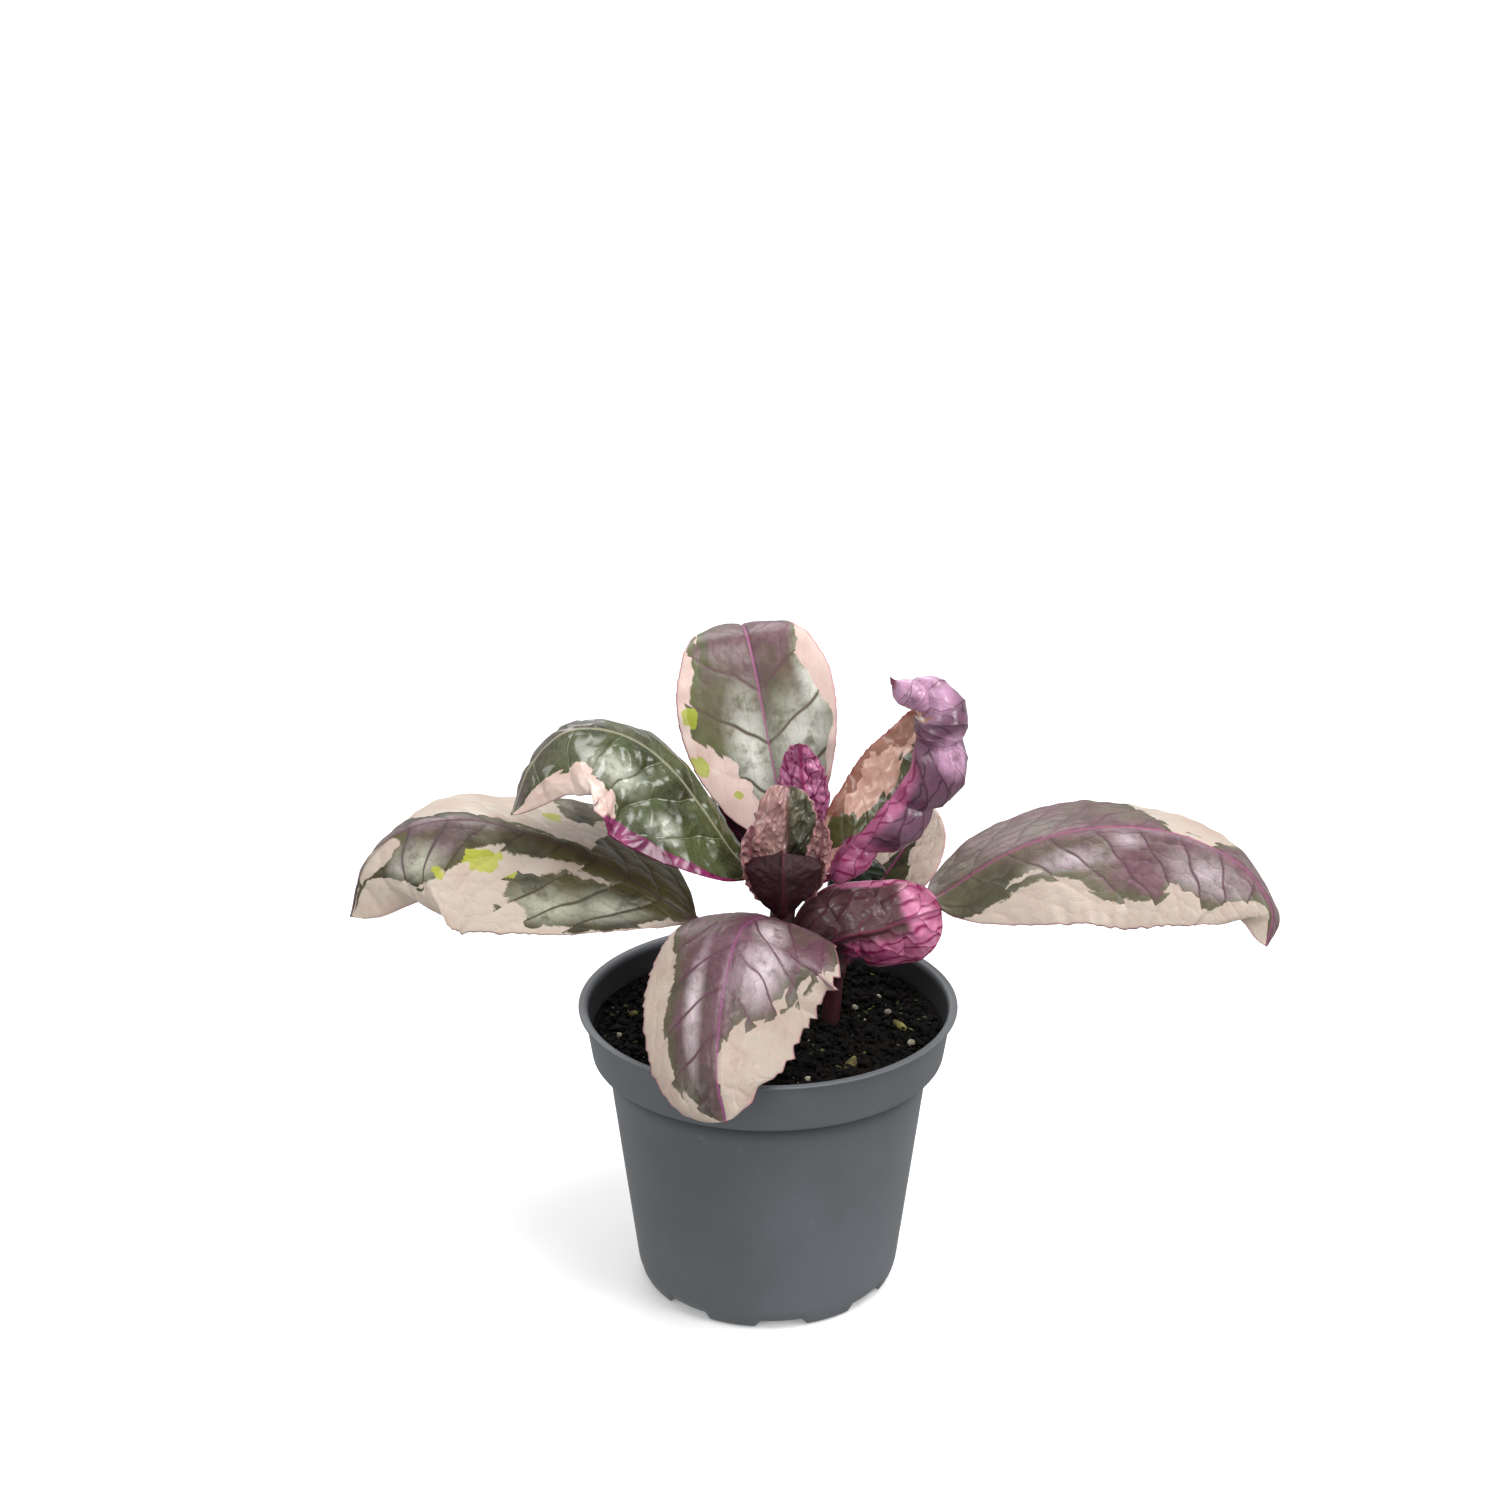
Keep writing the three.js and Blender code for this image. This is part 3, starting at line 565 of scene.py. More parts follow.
bark_finish = grain_finish("bark", "4a3d1c", "7d7a3a", 0.8, 260.0)
for place, (x, y, across) in enumerate(BARK, 1):
    strewn(f"bark_chip_{place}", [x * MM], [y * MM], [across * MM], (1.0, 0.45, 0.35), 0.12, 0.2, 2,
           bark_finish, f"bark_{place}")

x, y = scattered(draw, DUST, 0.012, SOIL_EDGE - 0.002)
strewn("perlite_dust", x, y, draw.uniform(0.0006, 0.0013, DUST), (1.0, 0.9, 0.8), 0.15, 0.3, 0,
       perlite_finish, None)

moss_finish = grain_finish("moss", "2c3514", "56602a", 0.85, 400.0)
x, y = scattered(draw, MOSS, 0.02, SOIL_EDGE - 0.002)
strewn("moss_specks", x, y, draw.uniform(0.0008, 0.0022, MOSS), (1.6, 0.6, 0.4), 0.3, 0.35, 0,
       moss_finish, None)


# ---------------------------------------------------------------- stems
# Two rooted cuttings with smooth maroon skin, swollen at the nodes, each with a few roots.
# Sizes from here on are in millimetres above the soil, and above_soil turns them to metres.

STEM_RADIUS = 3.8
SIDE_STEM_RADIUS = 3.0
ROOT_RADIUS = 1.8
ROOT_SPREAD = 22
ROOT_START = 14
ROOT_DEPTH = 44


def smooth_path(points, shares):
    """Places and headings on a centripetal Catmull-Rom curve at shares of its length: each
    span is a cubic between two points, its slopes set by the roots of the spans' lengths."""
    points = np.asarray(points, float)
    padded = np.vstack([2 * points[0] - points[1], points, 2 * points[-1] - points[-2]])
    t = np.linspace(0, 1, 61)[:, None]
    spans = [points[:1]]
    for first in range(len(points) - 1):
        a, b, c, d = padded[first:first + 4]
        before, here, after = (np.linalg.norm(q - p) ** 0.5 for p, q in ((a, b), (b, c), (c, d)))
        leave = ((b - a) / before - (c - a) / (before + here) + (c - b) / here) * here
        arrive = ((c - b) / here - (d - b) / (here + after) + (d - c) / after) * here
        span = ((2 * t**3 - 3 * t**2 + 1) * b + (t**3 - 2 * t**2 + t) * leave
                + (3 * t**2 - 2 * t**3) * c + (t**3 - t**2) * arrive)
        spans.append(span[1:])
    curve = np.vstack(spans)
    run = np.concatenate([[0], np.cumsum(np.linalg.norm(np.diff(curve, axis=0), axis=1))])

    def at(share):
        return np.stack([np.interp(share * run[-1], run, curve[:, axis]) for axis in range(3)], -1)

    heading = unit(at(np.clip(shares + 0.004, 0, 1)) - at(np.clip(shares - 0.004, 0, 1)))
    return at(shares), heading, run[-1]


def spread(values, share):
    """Evenly spaced values, joined by straight lines, at a share of their span."""
    return np.interp(share, np.linspace(0, 1, len(values)), values)


def tube(points, radii, rows, around, knots, uneven, seed):
    """A round profile carried along a smooth path. Its radius follows the given ones, swells
    by a bell curve at each knot, and is uneven by a slow random field; ends close in points."""
    share = np.linspace(0, 1, rows)
    middle, heading, length = smooth_path(points, share)
    side = unit(np.cross(heading, [0.31, 0.95, 0.05]))
    other = np.cross(heading, side)
    angle = np.linspace(0, 2 * math.pi, around, endpoint=False)
    radius = spread(radii, share)[:, None] + 0 * angle
    for place, swell in knots:
        radius = radius * (1 + swell * np.exp(-(((share - place) * length / 2.2) ** 2)))[:, None]
    round_place = np.cos(angle)[None] * 0.6 + np.sin(angle)[None] * 0.5
    radius = radius * (1 + uneven * drift(share[:, None] * length / 9, round_place, seed))
    ring = middle[:, None] + radius[..., None] * (
        np.cos(angle)[None, :, None] * side[:, None] + np.sin(angle)[None, :, None] * other[:, None])
    points = np.concatenate([ring.reshape(-1, 3), middle[:1], middle[-1:]])
    return points, ring_quads(rows, around), end_fans(rows * around, around)


def above_soil(points):
    """Points in millimetres above the soil as metres above the floor."""
    return np.asarray(points) * MM + [0, 0, SOIL_LEVEL]


def rooted_stem(name, points, radii, roots, knots, seed):
    """The stem's tube and its roots, which run out and down from below the soil."""
    parts = [tube(points, radii, 160, 48, knots, 0.05, seed)]
    x, y, _ = points[0]
    depths = (0, ROOT_START), (0.55, (ROOT_START + ROOT_DEPTH) / 2), (1, ROOT_DEPTH)
    for turn in np.radians(roots):
        out = [(x + ROOT_SPREAD * share * math.cos(turn), y + ROOT_SPREAD * share * math.sin(turn), -depth)
               for share, depth in depths]
        parts.append(tube(out, [ROOT_RADIUS, ROOT_RADIUS * 0.4], 30, 12, (), 0.1, seed + 1))
    first = np.cumsum([0] + [len(part[0]) for part in parts])
    points = np.concatenate([part[0] for part in parts])
    quads = np.concatenate([part[1] + start for part, start in zip(parts, first)])
    caps = np.concatenate([part[2] + start for part, start in zip(parts, first)])
    return mesh_of(name, above_soil(points), quads, caps)


def stem_finish():
    """Maroon skin in two tones, with fine lengthwise streaks of lighter brown."""
    finish = Finish("stem")
    where = finish.place()
    lengthwise = finish.node("ShaderNodeMapping", {}, {"Vector": where, "Scale": (1.0, 1.0, 0.08)})
    streak = finish.noise(lengthwise, 900.0, 3.0)
    cloud = finish.noise(where, 120.0, 3.0)
    skin = finish.mix(paint("1c0a0d"), paint("3a1620"), cloud.ramp(0.3, 0.7))
    skin = finish.mix(skin, paint("5f4a30"), streak.ramp(0.55, 0.8) * 0.4)
    finish.set(Base_Color=skin, Roughness=0.42 + 0.15 * streak, Subsurface_Weight=0.05)
    finish.bump(streak, 0.0003, 0.4)
    return finish.material


stem_skin = stem_finish()
piece("main_cane", rooted_stem(
    "main_cane", [(3, 1, -24), (3, 0, 0), (4, 0, 28), (5, 0, 50)],
    [STEM_RADIUS * 0.7, STEM_RADIUS, STEM_RADIUS * 0.92, STEM_RADIUS * 1.12],
    [100, 215, 335], [(0.56, 0.25), (0.72, 0.2), (0.93, 0.18)], 21), stem_skin, "main_stem")
piece("side_cane", rooted_stem(
    "side_cane", [(18, 4, -20), (20, 4, 0), (22, 5, 22), (24.5, 6.5, 33)],
    [SIDE_STEM_RADIUS * 0.7, SIDE_STEM_RADIUS, SIDE_STEM_RADIUS * 0.9, SIDE_STEM_RADIUS],
    [20, 285], [(0.7, 0.25), (0.93, 0.2)], 23), stem_skin, "side_stem")


# ---------------------------------------------------------------- how a leaf grows
# Every leaf is its stalk and blade in one thin skin. The blade is embossed by its veins: a
# midrib, side veins that lean to the tip, and cross veins that join them into a net.

BLADE = 0.42
STALK_RADIUS = 1.5
YOUNG_STALK_RADIUS = 0.9
TIP_RADIUS = 0.35
RIB_DEPTH = 0.9
RIB_WIDTH = 1.6
WAVE_LAG = 1.7
ROW_SHIFT = 0.618


def blade_share(along, fullest, base, point):
    """Share of its full width that half a blade has: a rounded swell from its base to the
    fullest place, then a narrowing to the point."""
    rise = np.clip(along / fullest, 0, 1)
    fall = np.clip((along - fullest) / (1 - fullest), 0, 1)
    return (1 - (1 - rise) ** 2) ** base * (1 - fall**2) ** point


def vein_places(run, reach, side, leaf):
    """Where a point lies in the vein net: side veins are at whole numbers of the first
    value, which falls with distance from the midrib along a leaning, bending line; cross
    veins are at whole numbers of the second, counted out from the midrib."""
    warp = leaf["warp"] * drift(run / 14, side * reach / 11, leaf["seed"])
    phase = (run - leaf["lean"] * reach - leaf["bend"] * reach**2) / leaf["spacing"]
    phase = phase + warp * np.clip(reach / 4, 0, 1)
    sway = 0.22 * drift(run / 6, side * reach / 6, leaf["seed"] + 1) * np.clip(reach / 3, 0, 1)
    return phase, side * reach / leaf["cell"] + sway


def gap_to_whole(value, pitch):
    """Distance to the nearest whole number, in units of the pitch."""
    return np.abs(value - np.round(value)) * pitch


def emboss(run, reach, share, side, solid, leaf):
    """Height of the blade between its veins: a dome over each gap between side veins, a
    smaller one over each gap between cross veins, flat at the midrib and at the margin."""
    phase, across = vein_places(run, reach, side, leaf)
    lateral = gap_to_whole(phase, leaf["spacing"])
    cross = gap_to_whole(across + np.floor(phase) * ROW_SHIFT, leaf["cell"])
    cross = np.minimum(cross, lateral)
    dome = 1 - (1 - 2 * lateral / leaf["spacing"]) ** 2
    large = 0.75 * dome + 0.25 * (1 - np.exp(-((lateral / 1.2) ** 2)))
    small = 1 - np.exp(-((cross / (0.17 * leaf["cell"])) ** 2))
    fade = (1 - np.exp(-((reach / 1.8) ** 2))) * (1 - share**8) * solid
    uneven = 1 + 0.5 * drift(run / 17, side * reach / 15, leaf["seed"] + 2)
    sunk = -leaf["groove"] * np.exp(-((reach / 0.7) ** 2)) * solid
    size = leaf["crumple"][1]
    folds = np.abs(drift(run / size, side * reach / size, leaf["seed"] + 3))
    folds = folds + 0.4 * np.abs(drift(run / size * 2.3, side * reach / size * 2.3, leaf["seed"] + 4))
    crumpled = leaf["crumple"][0] * (0.5 - folds) * solid * np.clip(reach / 1.5, 0, 1)
    crumpled = crumpled * (1 - 0.7 * share**6)
    return fade * (leaf["quilt"] * large * uneven + leaf["net"] * small) + sunk + crumpled, lateral


def teeth(run, height, pitch):
    """Saw teeth that point to the tip: each rises slowly, then drops at its point."""
    place = run / pitch + 0.18 * np.sin(run / pitch * 1.9)
    part = place - np.floor(place)
    uneven = 0.75 + 0.35 * np.sin(np.floor(place) * 2.3)
    drop = 1.6 * np.clip(part - 0.82, 0, 1) / 0.18 * part**1.3 * 0.62
    return height * uneven * (part**1.3 - drop)


def half_blade(leaf, half, along, run, radius, steps):
    """One half's section at every station: it turns by the fold at the midrib plus the curl
    times the share of the way out, so its arc length is the width; a margin wave and drift
    are added, and the skins lie either side of it, meeting in a round margin."""
    full = blade_share(along, leaf["fullest"][half], leaf["base"][half], leaf["point"][half])
    solid = 1 - np.exp(-leaf["width"][half] * full / (2 * radius))
    cut = teeth(run, *leaf["teeth"][half]) * np.clip(full * 4, 0, 1) * (along < 1)
    width = (leaf["width"][half] * full)[:, None]
    fold = np.radians(spread(leaf["fold"][half], along) * solid)[:, None]
    curl = np.radians(spread(leaf["curl"][half], along) * solid)[:, None]
    share = np.linspace(0, 1, steps + 1)[None]
    angle = fold + curl * share
    middle = (angle[:, 1:] + angle[:, :-1]) / 2
    stride = (width + radius[:, None]) / steps
    flat = np.zeros((len(along), 1))
    out = np.concatenate([flat, np.cumsum(stride * np.cos(middle), 1)], 1)
    up = np.concatenate([flat, np.cumsum(stride * np.sin(middle), 1)], 1)
    reach = share * (width + radius[:, None])
    out = out + cut[:, None] * share**14 * np.cos(angle)
    up = up + cut[:, None] * share**14 * np.sin(angle)
    side = -1 if half == 0 else 1
    height, count = leaf["wave"]
    wave = (height * full * np.sin(2 * math.pi * count * along + half * WAVE_LAG))[:, None] * share**2
    ruffle = leaf["ruffle"] * drift(run[:, None] / 9, side * share * 0.8 + 0 * reach, leaf["seed"] + 5)
    ruffle = ruffle * full[:, None] * share**3
    raised, lateral = emboss(run[:, None], reach, share, side, solid[:, None], leaf)
    swell, pitch, start = leaf["lobes"][half]
    place = (along[:, None] - start) / pitch + 0.25 * share
    raised = raised - swell * (np.abs(np.sin(math.pi * place)) ** 0.6 - 0.5) * np.sin(math.pi * share)
    up = up + wave + ruffle
    sharp = 2 + 6 * solid[:, None]
    thick = (BLADE / 2 + (radius - BLADE / 2) * (1 - solid))[:, None]
    thick = thick * np.sqrt(np.clip(1 - share**sharp, 0, 1))
    rib = (solid * RIB_DEPTH * (1 - along))[:, None] * np.clip(1 - (reach / RIB_WIDTH) ** 2, 0, 1)
    veins = leaf["cord"] * solid[:, None] * np.exp(-((lateral / 0.45) ** 2)) * (1 - share**4)
    veins = veins * np.clip(reach / 2, 0, 1)
    skins = []
    for lift in (raised + thick, raised - thick - rib - veins):
        skins.append(np.stack([side * (out - lift * np.sin(angle)), up + lift * np.cos(angle)], -1))
    phase, across = vein_places(run[:, None], reach, side, leaf)
    marks = {
        "rib": reach, "edge": (1 - share) * (width + radius[:, None]), "share": share + 0 * reach,
        "solid": solid[:, None] + 0 * reach, "phase": phase, "across": across,
    }
    return skins, marks


def ovals(along, side, rows):
    """Depth inside the deepest of some ovals: 1 at a middle, 0 at its rim, less outside."""
    depth = np.full(np.shape(side), -9.0)
    for middle, across, long, wide in rows:
        reach = np.sqrt(((along - middle) / long) ** 2 + ((side - across) / wide) ** 2)
        depth = np.maximum(depth, 1 - reach)
    return depth


def pigment(leaf, half, along, share):
    """Signed depth inside the coloured part of the blade, as a share of its width: inside
    a border that runs along each half, or an island, and outside the pale windows."""
    side = (-1 if half == 0 else 1) * share
    inside = spread(leaf["border"][half], along)[:, None] - share
    islands = 0.3 * ovals(along[:, None], side, leaf["islands"])
    windows = 0.3 * ovals(along[:, None], side, leaf["windows"])
    return np.minimum(np.maximum(inside, islands), -windows)


PLAIN_LEAF = {
    "stations": 250, "steps": 50, "young": False, "fullest": (0.5, 0.5), "base": (0.7, 0.7),
    "point": (0.7, 0.7), "fold": ((10, 10), (10, 10)), "curl": ((20, 20), (20, 20)),
    "wave": (0.8, 3), "warp": 0.1, "lean": 0.75,
    "bend": 0.012, "spacing": 10.5, "cell": 4.2, "quilt": 0.55, "net": 0.12, "groove": 0.35,
    "cord": 0.2, "ruffle": 0.6, "teeth": ((0.8, 4.0), (0.8, 4.0)), "seed": 1,
    "crumple": (0.12, 9.0), "lobes": ((0, 1, 0), (0, 1, 0)),
    "jag": 0.13, "border": ((1.2, 1.2), (1.2, 1.2)), "islands": (), "windows": (), "lime": (),
    "purple": ((0, 0), (0, 0)), "silver": (), "rosy": (),
}


def leaf_mesh(name, leaf):
    """The leaf's sections placed along its spine, square to it and facing the ways given,
    and the upper and lower skins joined round each section. Its marks go with its points."""
    share = np.linspace(0, 1, leaf["stations"] + 1)
    middle, heading, length = smooth_path(leaf["spine"], share)
    along = np.clip((share - leaf["bare"]) / (1 - leaf["bare"]), 0, 1)
    run = along * length * (1 - leaf["bare"])
    stalk = YOUNG_STALK_RADIUS if leaf["young"] else STALK_RADIUS
    radius = stalk + (TIP_RADIUS - stalk) * along
    faces = unit(np.array(leaf["face"], float))
    up = np.stack([spread(faces[:, axis], share) for axis in range(3)], -1)
    up = unit(up - np.sum(up * heading, 1, keepdims=True) * heading)
    right = np.cross(heading, up)
    halves = [half_blade(leaf, half, along, run, radius, leaf["steps"]) for half in (0, 1)]
    for half in (0, 1):
        marks = halves[half][1]
        signed = (-1 if half == 0 else 1) * marks["share"]
        marks["pigment"] = pigment(leaf, half, along, marks["share"])
        marks["purple"] = spread(leaf["purple"][half], along)[:, None] + 0 * signed
        # the silver ovals mark the leaf's real silver together with painted highlights
        for mark, least in (("silver", 0), ("rosy", -1), ("lime", -1)):
            marks[mark] = np.clip(ovals(along[:, None], signed, leaf[mark]), least, 1)

    def ring(left, right):
        upper = [left[0][:, ::-1], right[0][:, 1:]]
        lower = [right[1][:, -2::-1], left[1][:, 1:-1]]
        return np.concatenate(upper + lower, 1)

    flat = ring(*[side[0] for side in halves])
    points = middle[:, None] + flat[..., :1] * right[:, None] + flat[..., 1:] * up[:, None]
    rows, around = flat.shape[:2]
    ends = [middle[:1] - heading[:1] * 0.2, middle[-1:] + heading[-1:] * 0.3]
    places = np.concatenate([points.reshape(-1, 3), *ends])
    mesh = mesh_of(name, above_soil(places), ring_quads(rows, around), end_fans(rows * around, around))
    marks = {mark: ring(*[(side[1][mark],) * 2 for side in halves]) for mark in halves[0][1]}
    marks["under"] = np.repeat((np.arange(around) > 2 * leaf["steps"])[None] * 1.0, rows, 0)
    every = {mark: np.append(values.ravel(), (values[0, 0], values[-1, 0])) for mark, values in marks.items()}
    for mark in ("rib", "edge", "solid", "pigment", "purple", "silver", "rosy", "lime", "under"):
        stored = mesh.attributes.new(mark, "FLOAT", "POINT")
        stored.data.foreach_set("value", every[mark].astype(np.float32))
    corner = np.empty(len(mesh.loops), np.int32)
    mesh.loops.foreach_get("vertex_index", corner)
    chart = mesh.uv_layers.new(name="net")
    net = np.stack([every["phase"], every["across"]], 1)[corner]
    chart.data.foreach_set("uv", net.astype(np.float32).ravel())
    return mesh


# sheen is the colour laid in the silver ovals: partly real silver, partly painted highlight
PLAIN_TONES = {
    "green": "464a2c", "shade": "2d301c", "sheen": "a4ab92", "purple": "5e3f48", "bloom": "876a74",
    "cream": "beb2a4", "blush": "b3998b", "pale_vein": "c79f9b", "vein": "5d2340", "rib": "8a3d66",
    "under": "6f3a66", "under_light": "a0689a", "under_vein": "b02a70", "under_highlight": "a0689a",
    "rosy": "8f1f58", "rosy_light": "c46f93", "stalk": "6b2f48", "rim": "b77a86", "lime": "a6b83c",
    "gloss": 0.36, "fuzz": 0.1, "relief": 0.4, "wax": 0.15,
}


def leaf_finish(name, leaf, tones):
    """A leaf's skin. Above: green or purple between darker veins, in places silvery with painted highlights,
    green towards the cream patches, whose borders step along the net. Below: purple, netted, with painted
    highlights in the same places."""
    finish = Finish(name)
    where = finish.place()
    chart = finish.node("ShaderNodeUVMap", {"uv_map": "net"}, {})
    phase, across = finish.axes(chart, 2)
    row = phase.maths("FLOOR")
    brick = across + row * ROW_SHIFT
    lateral = ((phase + 0.5).fraction() - 0.5).absolute() * leaf["spacing"]
    cross = ((brick + 0.5).fraction() - 0.5).absolute() * leaf["cell"]
    cell = finish.node("ShaderNodeCombineXYZ", {}, {"X": row, "Y": brick.maths("FLOOR"), "Z": leaf["seed"]})
    chance = finish.node("ShaderNodeTexWhiteNoise", {"noise_dimensions": "3D"}, {"Vector": cell})
    grain = finish.noise(where, 420.0, 4.0, 0.6)
    cloud = finish.noise(where, 75.0, 3.0)
    mottle = finish.noise(where, 190.0, 4.0, 0.6)
    rib = finish.mark("rib")
    solid = finish.mark("solid")
    wobble = (mottle - 0.5) * 0.4
    reticle = finish.node(
        "ShaderNodeTexVoronoi", {"feature": "DISTANCE_TO_EDGE"}, {"Vector": where, "Scale": 520.0})
    main_line = (rib + wobble).ramp(0.15, 0.6, 1.0, 0.0)
    side_line = (lateral + wobble * 0.4).ramp(0.05, 0.3, 1.0, 0.0)
    fine_line = (cross + wobble * 0.3).ramp(0.0, 0.16, 1.0, 0.0)
    mesh_line = reticle.ramp(0.0, 0.12, 1.0, 0.0)
    colour = {tone: paint(code) for tone, code in tones.items() if isinstance(code, str)}

    depth = finish.mark("pigment") + (chance - 0.5) * leaf["jag"]
    depth = depth + (mottle - 0.5) * 0.16 + (grain - 0.5) * 0.06
    lit = cloud.ramp(0.3, 0.6) * (0.55 + 0.45 * lateral.ramp(0.0, 0.9))
    green = finish.mix(colour["shade"], colour["green"], lit)
    bloom = mottle.ramp(0.35, 0.7) * 0.6 * lateral.ramp(0.2, 1.5)
    purple = finish.mix(colour["purple"], colour["bloom"], bloom)
    stain = finish.noise(where, 46.0, 4.0, 0.65).ramp(0.38, 0.6, 0.35, 1.0)
    stain = stain.greatest(lateral.ramp(0.4, 2.0, 0.85, 0.0)).greatest(rib.ramp(1.5, 5.0, 0.95, 0.0))
    stain = stain * finish.mark("purple") * (depth + (cloud - 0.5) * 0.3).ramp(0.04, 0.2)
    body = finish.mix(green, purple, stain)
    # painted highlight over real silver: the sheen colour laid between the veins inside the silver ovals
    sheen = finish.mark("silver") * lateral.ramp(0.1, 1.1) * mottle.ramp(0.2, 0.55)
    body = finish.mix(body, colour["sheen"], sheen * cross.ramp(0.0, 0.4, 0.85, 1.0))
    lines = (side_line * 0.5).greatest(fine_line * 0.16).greatest(mesh_line * 0.1)
    body = finish.mix(body, colour["vein"], lines)
    body = finish.mix(body, colour["shade"], grain.ramp(0.5, 0.8) * 0.3)
    pale = finish.mix(colour["cream"], colour["blush"], cloud.ramp(0.4, 0.75) * 0.7)
    lines = (side_line * 0.45).greatest(fine_line * 0.3).greatest(mesh_line * 0.15)
    pale = finish.mix(pale, colour["pale_vein"], lines)
    skin = finish.mix(pale, body, depth.ramp(-0.012, 0.012))
    lime = finish.mark("lime") + (mottle - 0.5) * 1.6 + (chance - 0.5) * 0.7 + (grain - 0.5) * 0.5
    lime = lime.ramp(0.0, 0.1)
    skin = finish.mix(skin, colour["lime"], lime * 0.85)
    skin = finish.mix(skin, colour["rib"], main_line * (0.75 - 0.25 * depth.ramp(-0.02, 0.02, 1.0, 0.0)))
    rim = (finish.mark("edge") + wobble).ramp(0.2, 0.8, 1.0, 0.0)
    skin = finish.mix(skin, colour["rim"], rim * 0.6)
    flush = finish.mix(colour["rosy"], colour["rosy_light"], cross.ramp(0.1, 1.0) * cloud.ramp(0.25, 0.65))
    skin = finish.mix(skin, flush, (finish.mark("rosy") + (mottle - 0.5) * 0.3).ramp(0.0, 0.12))

    lit = cross.ramp(0.0, 0.6) * lateral.ramp(0.0, 0.8) * cloud.ramp(0.2, 0.6)
    below = finish.mix(colour["under"], colour["under_light"], lit)
    # painted highlight on the underside: a lighter colour laid in the same silver ovals
    sheen = finish.mark("silver").ramp(0.0, 0.5) * mottle.ramp(0.15, 0.55)
    below = finish.mix(below, colour["under_highlight"], sheen)
    below = finish.mix(below, flush, (finish.mark("rosy") + (mottle - 0.5) * 0.4).ramp(0.0, 0.35))
    below_lines = main_line.greatest(side_line).greatest(fine_line * 0.7).greatest(mesh_line * 0.12)
    below = finish.mix(below, colour["under_vein"], below_lines * 0.8)
    side = finish.mark("under").ramp(0.4, 0.6)
    skin = finish.mix(skin, below, side)
    skin = finish.mix(colour["stalk"], skin, solid.ramp(0.35, 0.9))
    finish.set(
        Base_Color=skin, Subsurface_Weight=tones["fuzz"], Subsurface_Scale=0.0012,
        Specular_IOR_Level=0.35,
        Roughness=tones["gloss"] + 0.12 * grain + 0.1 * depth.ramp(-0.012, 0.012, 1.0, 0.0) + 0.05 * side,
        Coat_Weight=tones["wax"], Coat_Roughness=0.18)
    pimple = finish.noise(where, 900.0, 2.0)
    relief = cross.ramp(0.0, 0.5) * 0.4 + reticle.ramp(0.0, 0.3) * 0.3 + grain * 0.5 + pimple * 0.3
    finish.bump(relief, 0.0003, tones["relief"])
    return finish.material


def grow(name, node, slot, tones, **form):
    """Makes one leaf from the plain one's form and tones with its own values over them."""
    leaf = {**PLAIN_LEAF, **form}
    piece(name, leaf_mesh(name, leaf), leaf_finish(name, leaf, {**PLAIN_TONES, **tones}), node)


# ---------------------------------------------------------------- left leaf
# The longest leaf arches out to the left and droops at its tip: cream, with a dark green
# island at its base and a purple one along the midrib.

grow(
    "left_blade", "left_leaf", "cream_leaf",
    {"rib": "54373f", "vein": "33261f", "stalk": "4d3833", "purple": "5e4850", "bloom": "8f7d80",
     "rim": "c9a79d", "pale_vein": "cdb0a2", "green": "57522f", "shade": "332f1a", "lime": "a9ad36",
     "sheen": "b9bba6"},
    spine=[(3.5, -1, 17), (-8, -4, 27), (-24.5, -5, 40), (-52, -7, 59.5), (-73, -9, 69.5),
           (-93.5, -12, 75.5), (-111, -14, 72.5), (-123, -15, 61.5), (-128, -16, 45)], bare=0.21,
    face=[(0, -0.35, 1), (0, -0.42, 0.9), (-0.2, -0.5, 0.85), (-0.5, -0.4, 0.8)], width=(33, 29),
    fullest=(0.58, 0.34), base=(0.95, 0.7), point=(0.55, 0.8), fold=((-8, -26, -45), (0, -30, -36)),
    curl=((-4, -12, -10), (-6, -6)), wave=(1.2, 3),
    border=((0.5, 0.45, 0.2, 0.14, 0.2, 0.22, 0.35, 0.58, 0.62, 0.08, 0.05),
            (1.2, 1.2, 1.1, 0.1, 0.04, 0.1, 0.15, 0.25, 0.9, 1.2, 1.2)),
    islands=[(0.25, -0.6, 0.23, 0.34), (0.1, -0.35, 0.13, 0.28), (0.37, -0.88, 0.03, 0.07),
             (0.32, 0.9, 0.06, 0.4)], windows=[(0.84, -0.08, 0.07, 0.12)],
    lime=[(0.53, -0.36, 0.055, 0.13), (0.68, -0.5, 0.02, 0.08), (0.39, 0.5, 0.018, 0.09),
          (0.41, 0.93, 0.018, 0.07)],
    purple=((0, 0, 0, 0.1, 0.4, 0.8, 1, 1, 0.8), (0, 0, 0.1, 0.3, 0.7, 1, 1, 1, 1)),
    # the silver ovals here are the leaf's silver with painted highlights over it
    silver=[(0.34, -0.68, 0.16, 0.26), (0.2, -0.6, 0.12, 0.3), (0.75, -0.35, 0.12, 0.25)],
    teeth=((0.5, 5.0), (0.6, 5.5)), spacing=12.0, quilt=0.35, seed=31)


# ---------------------------------------------------------------- upper left leaf
# A glossy green leaf, quilted between its veins, with a pinkish patch near its tip and its
# lower margin rolled up to show magenta.

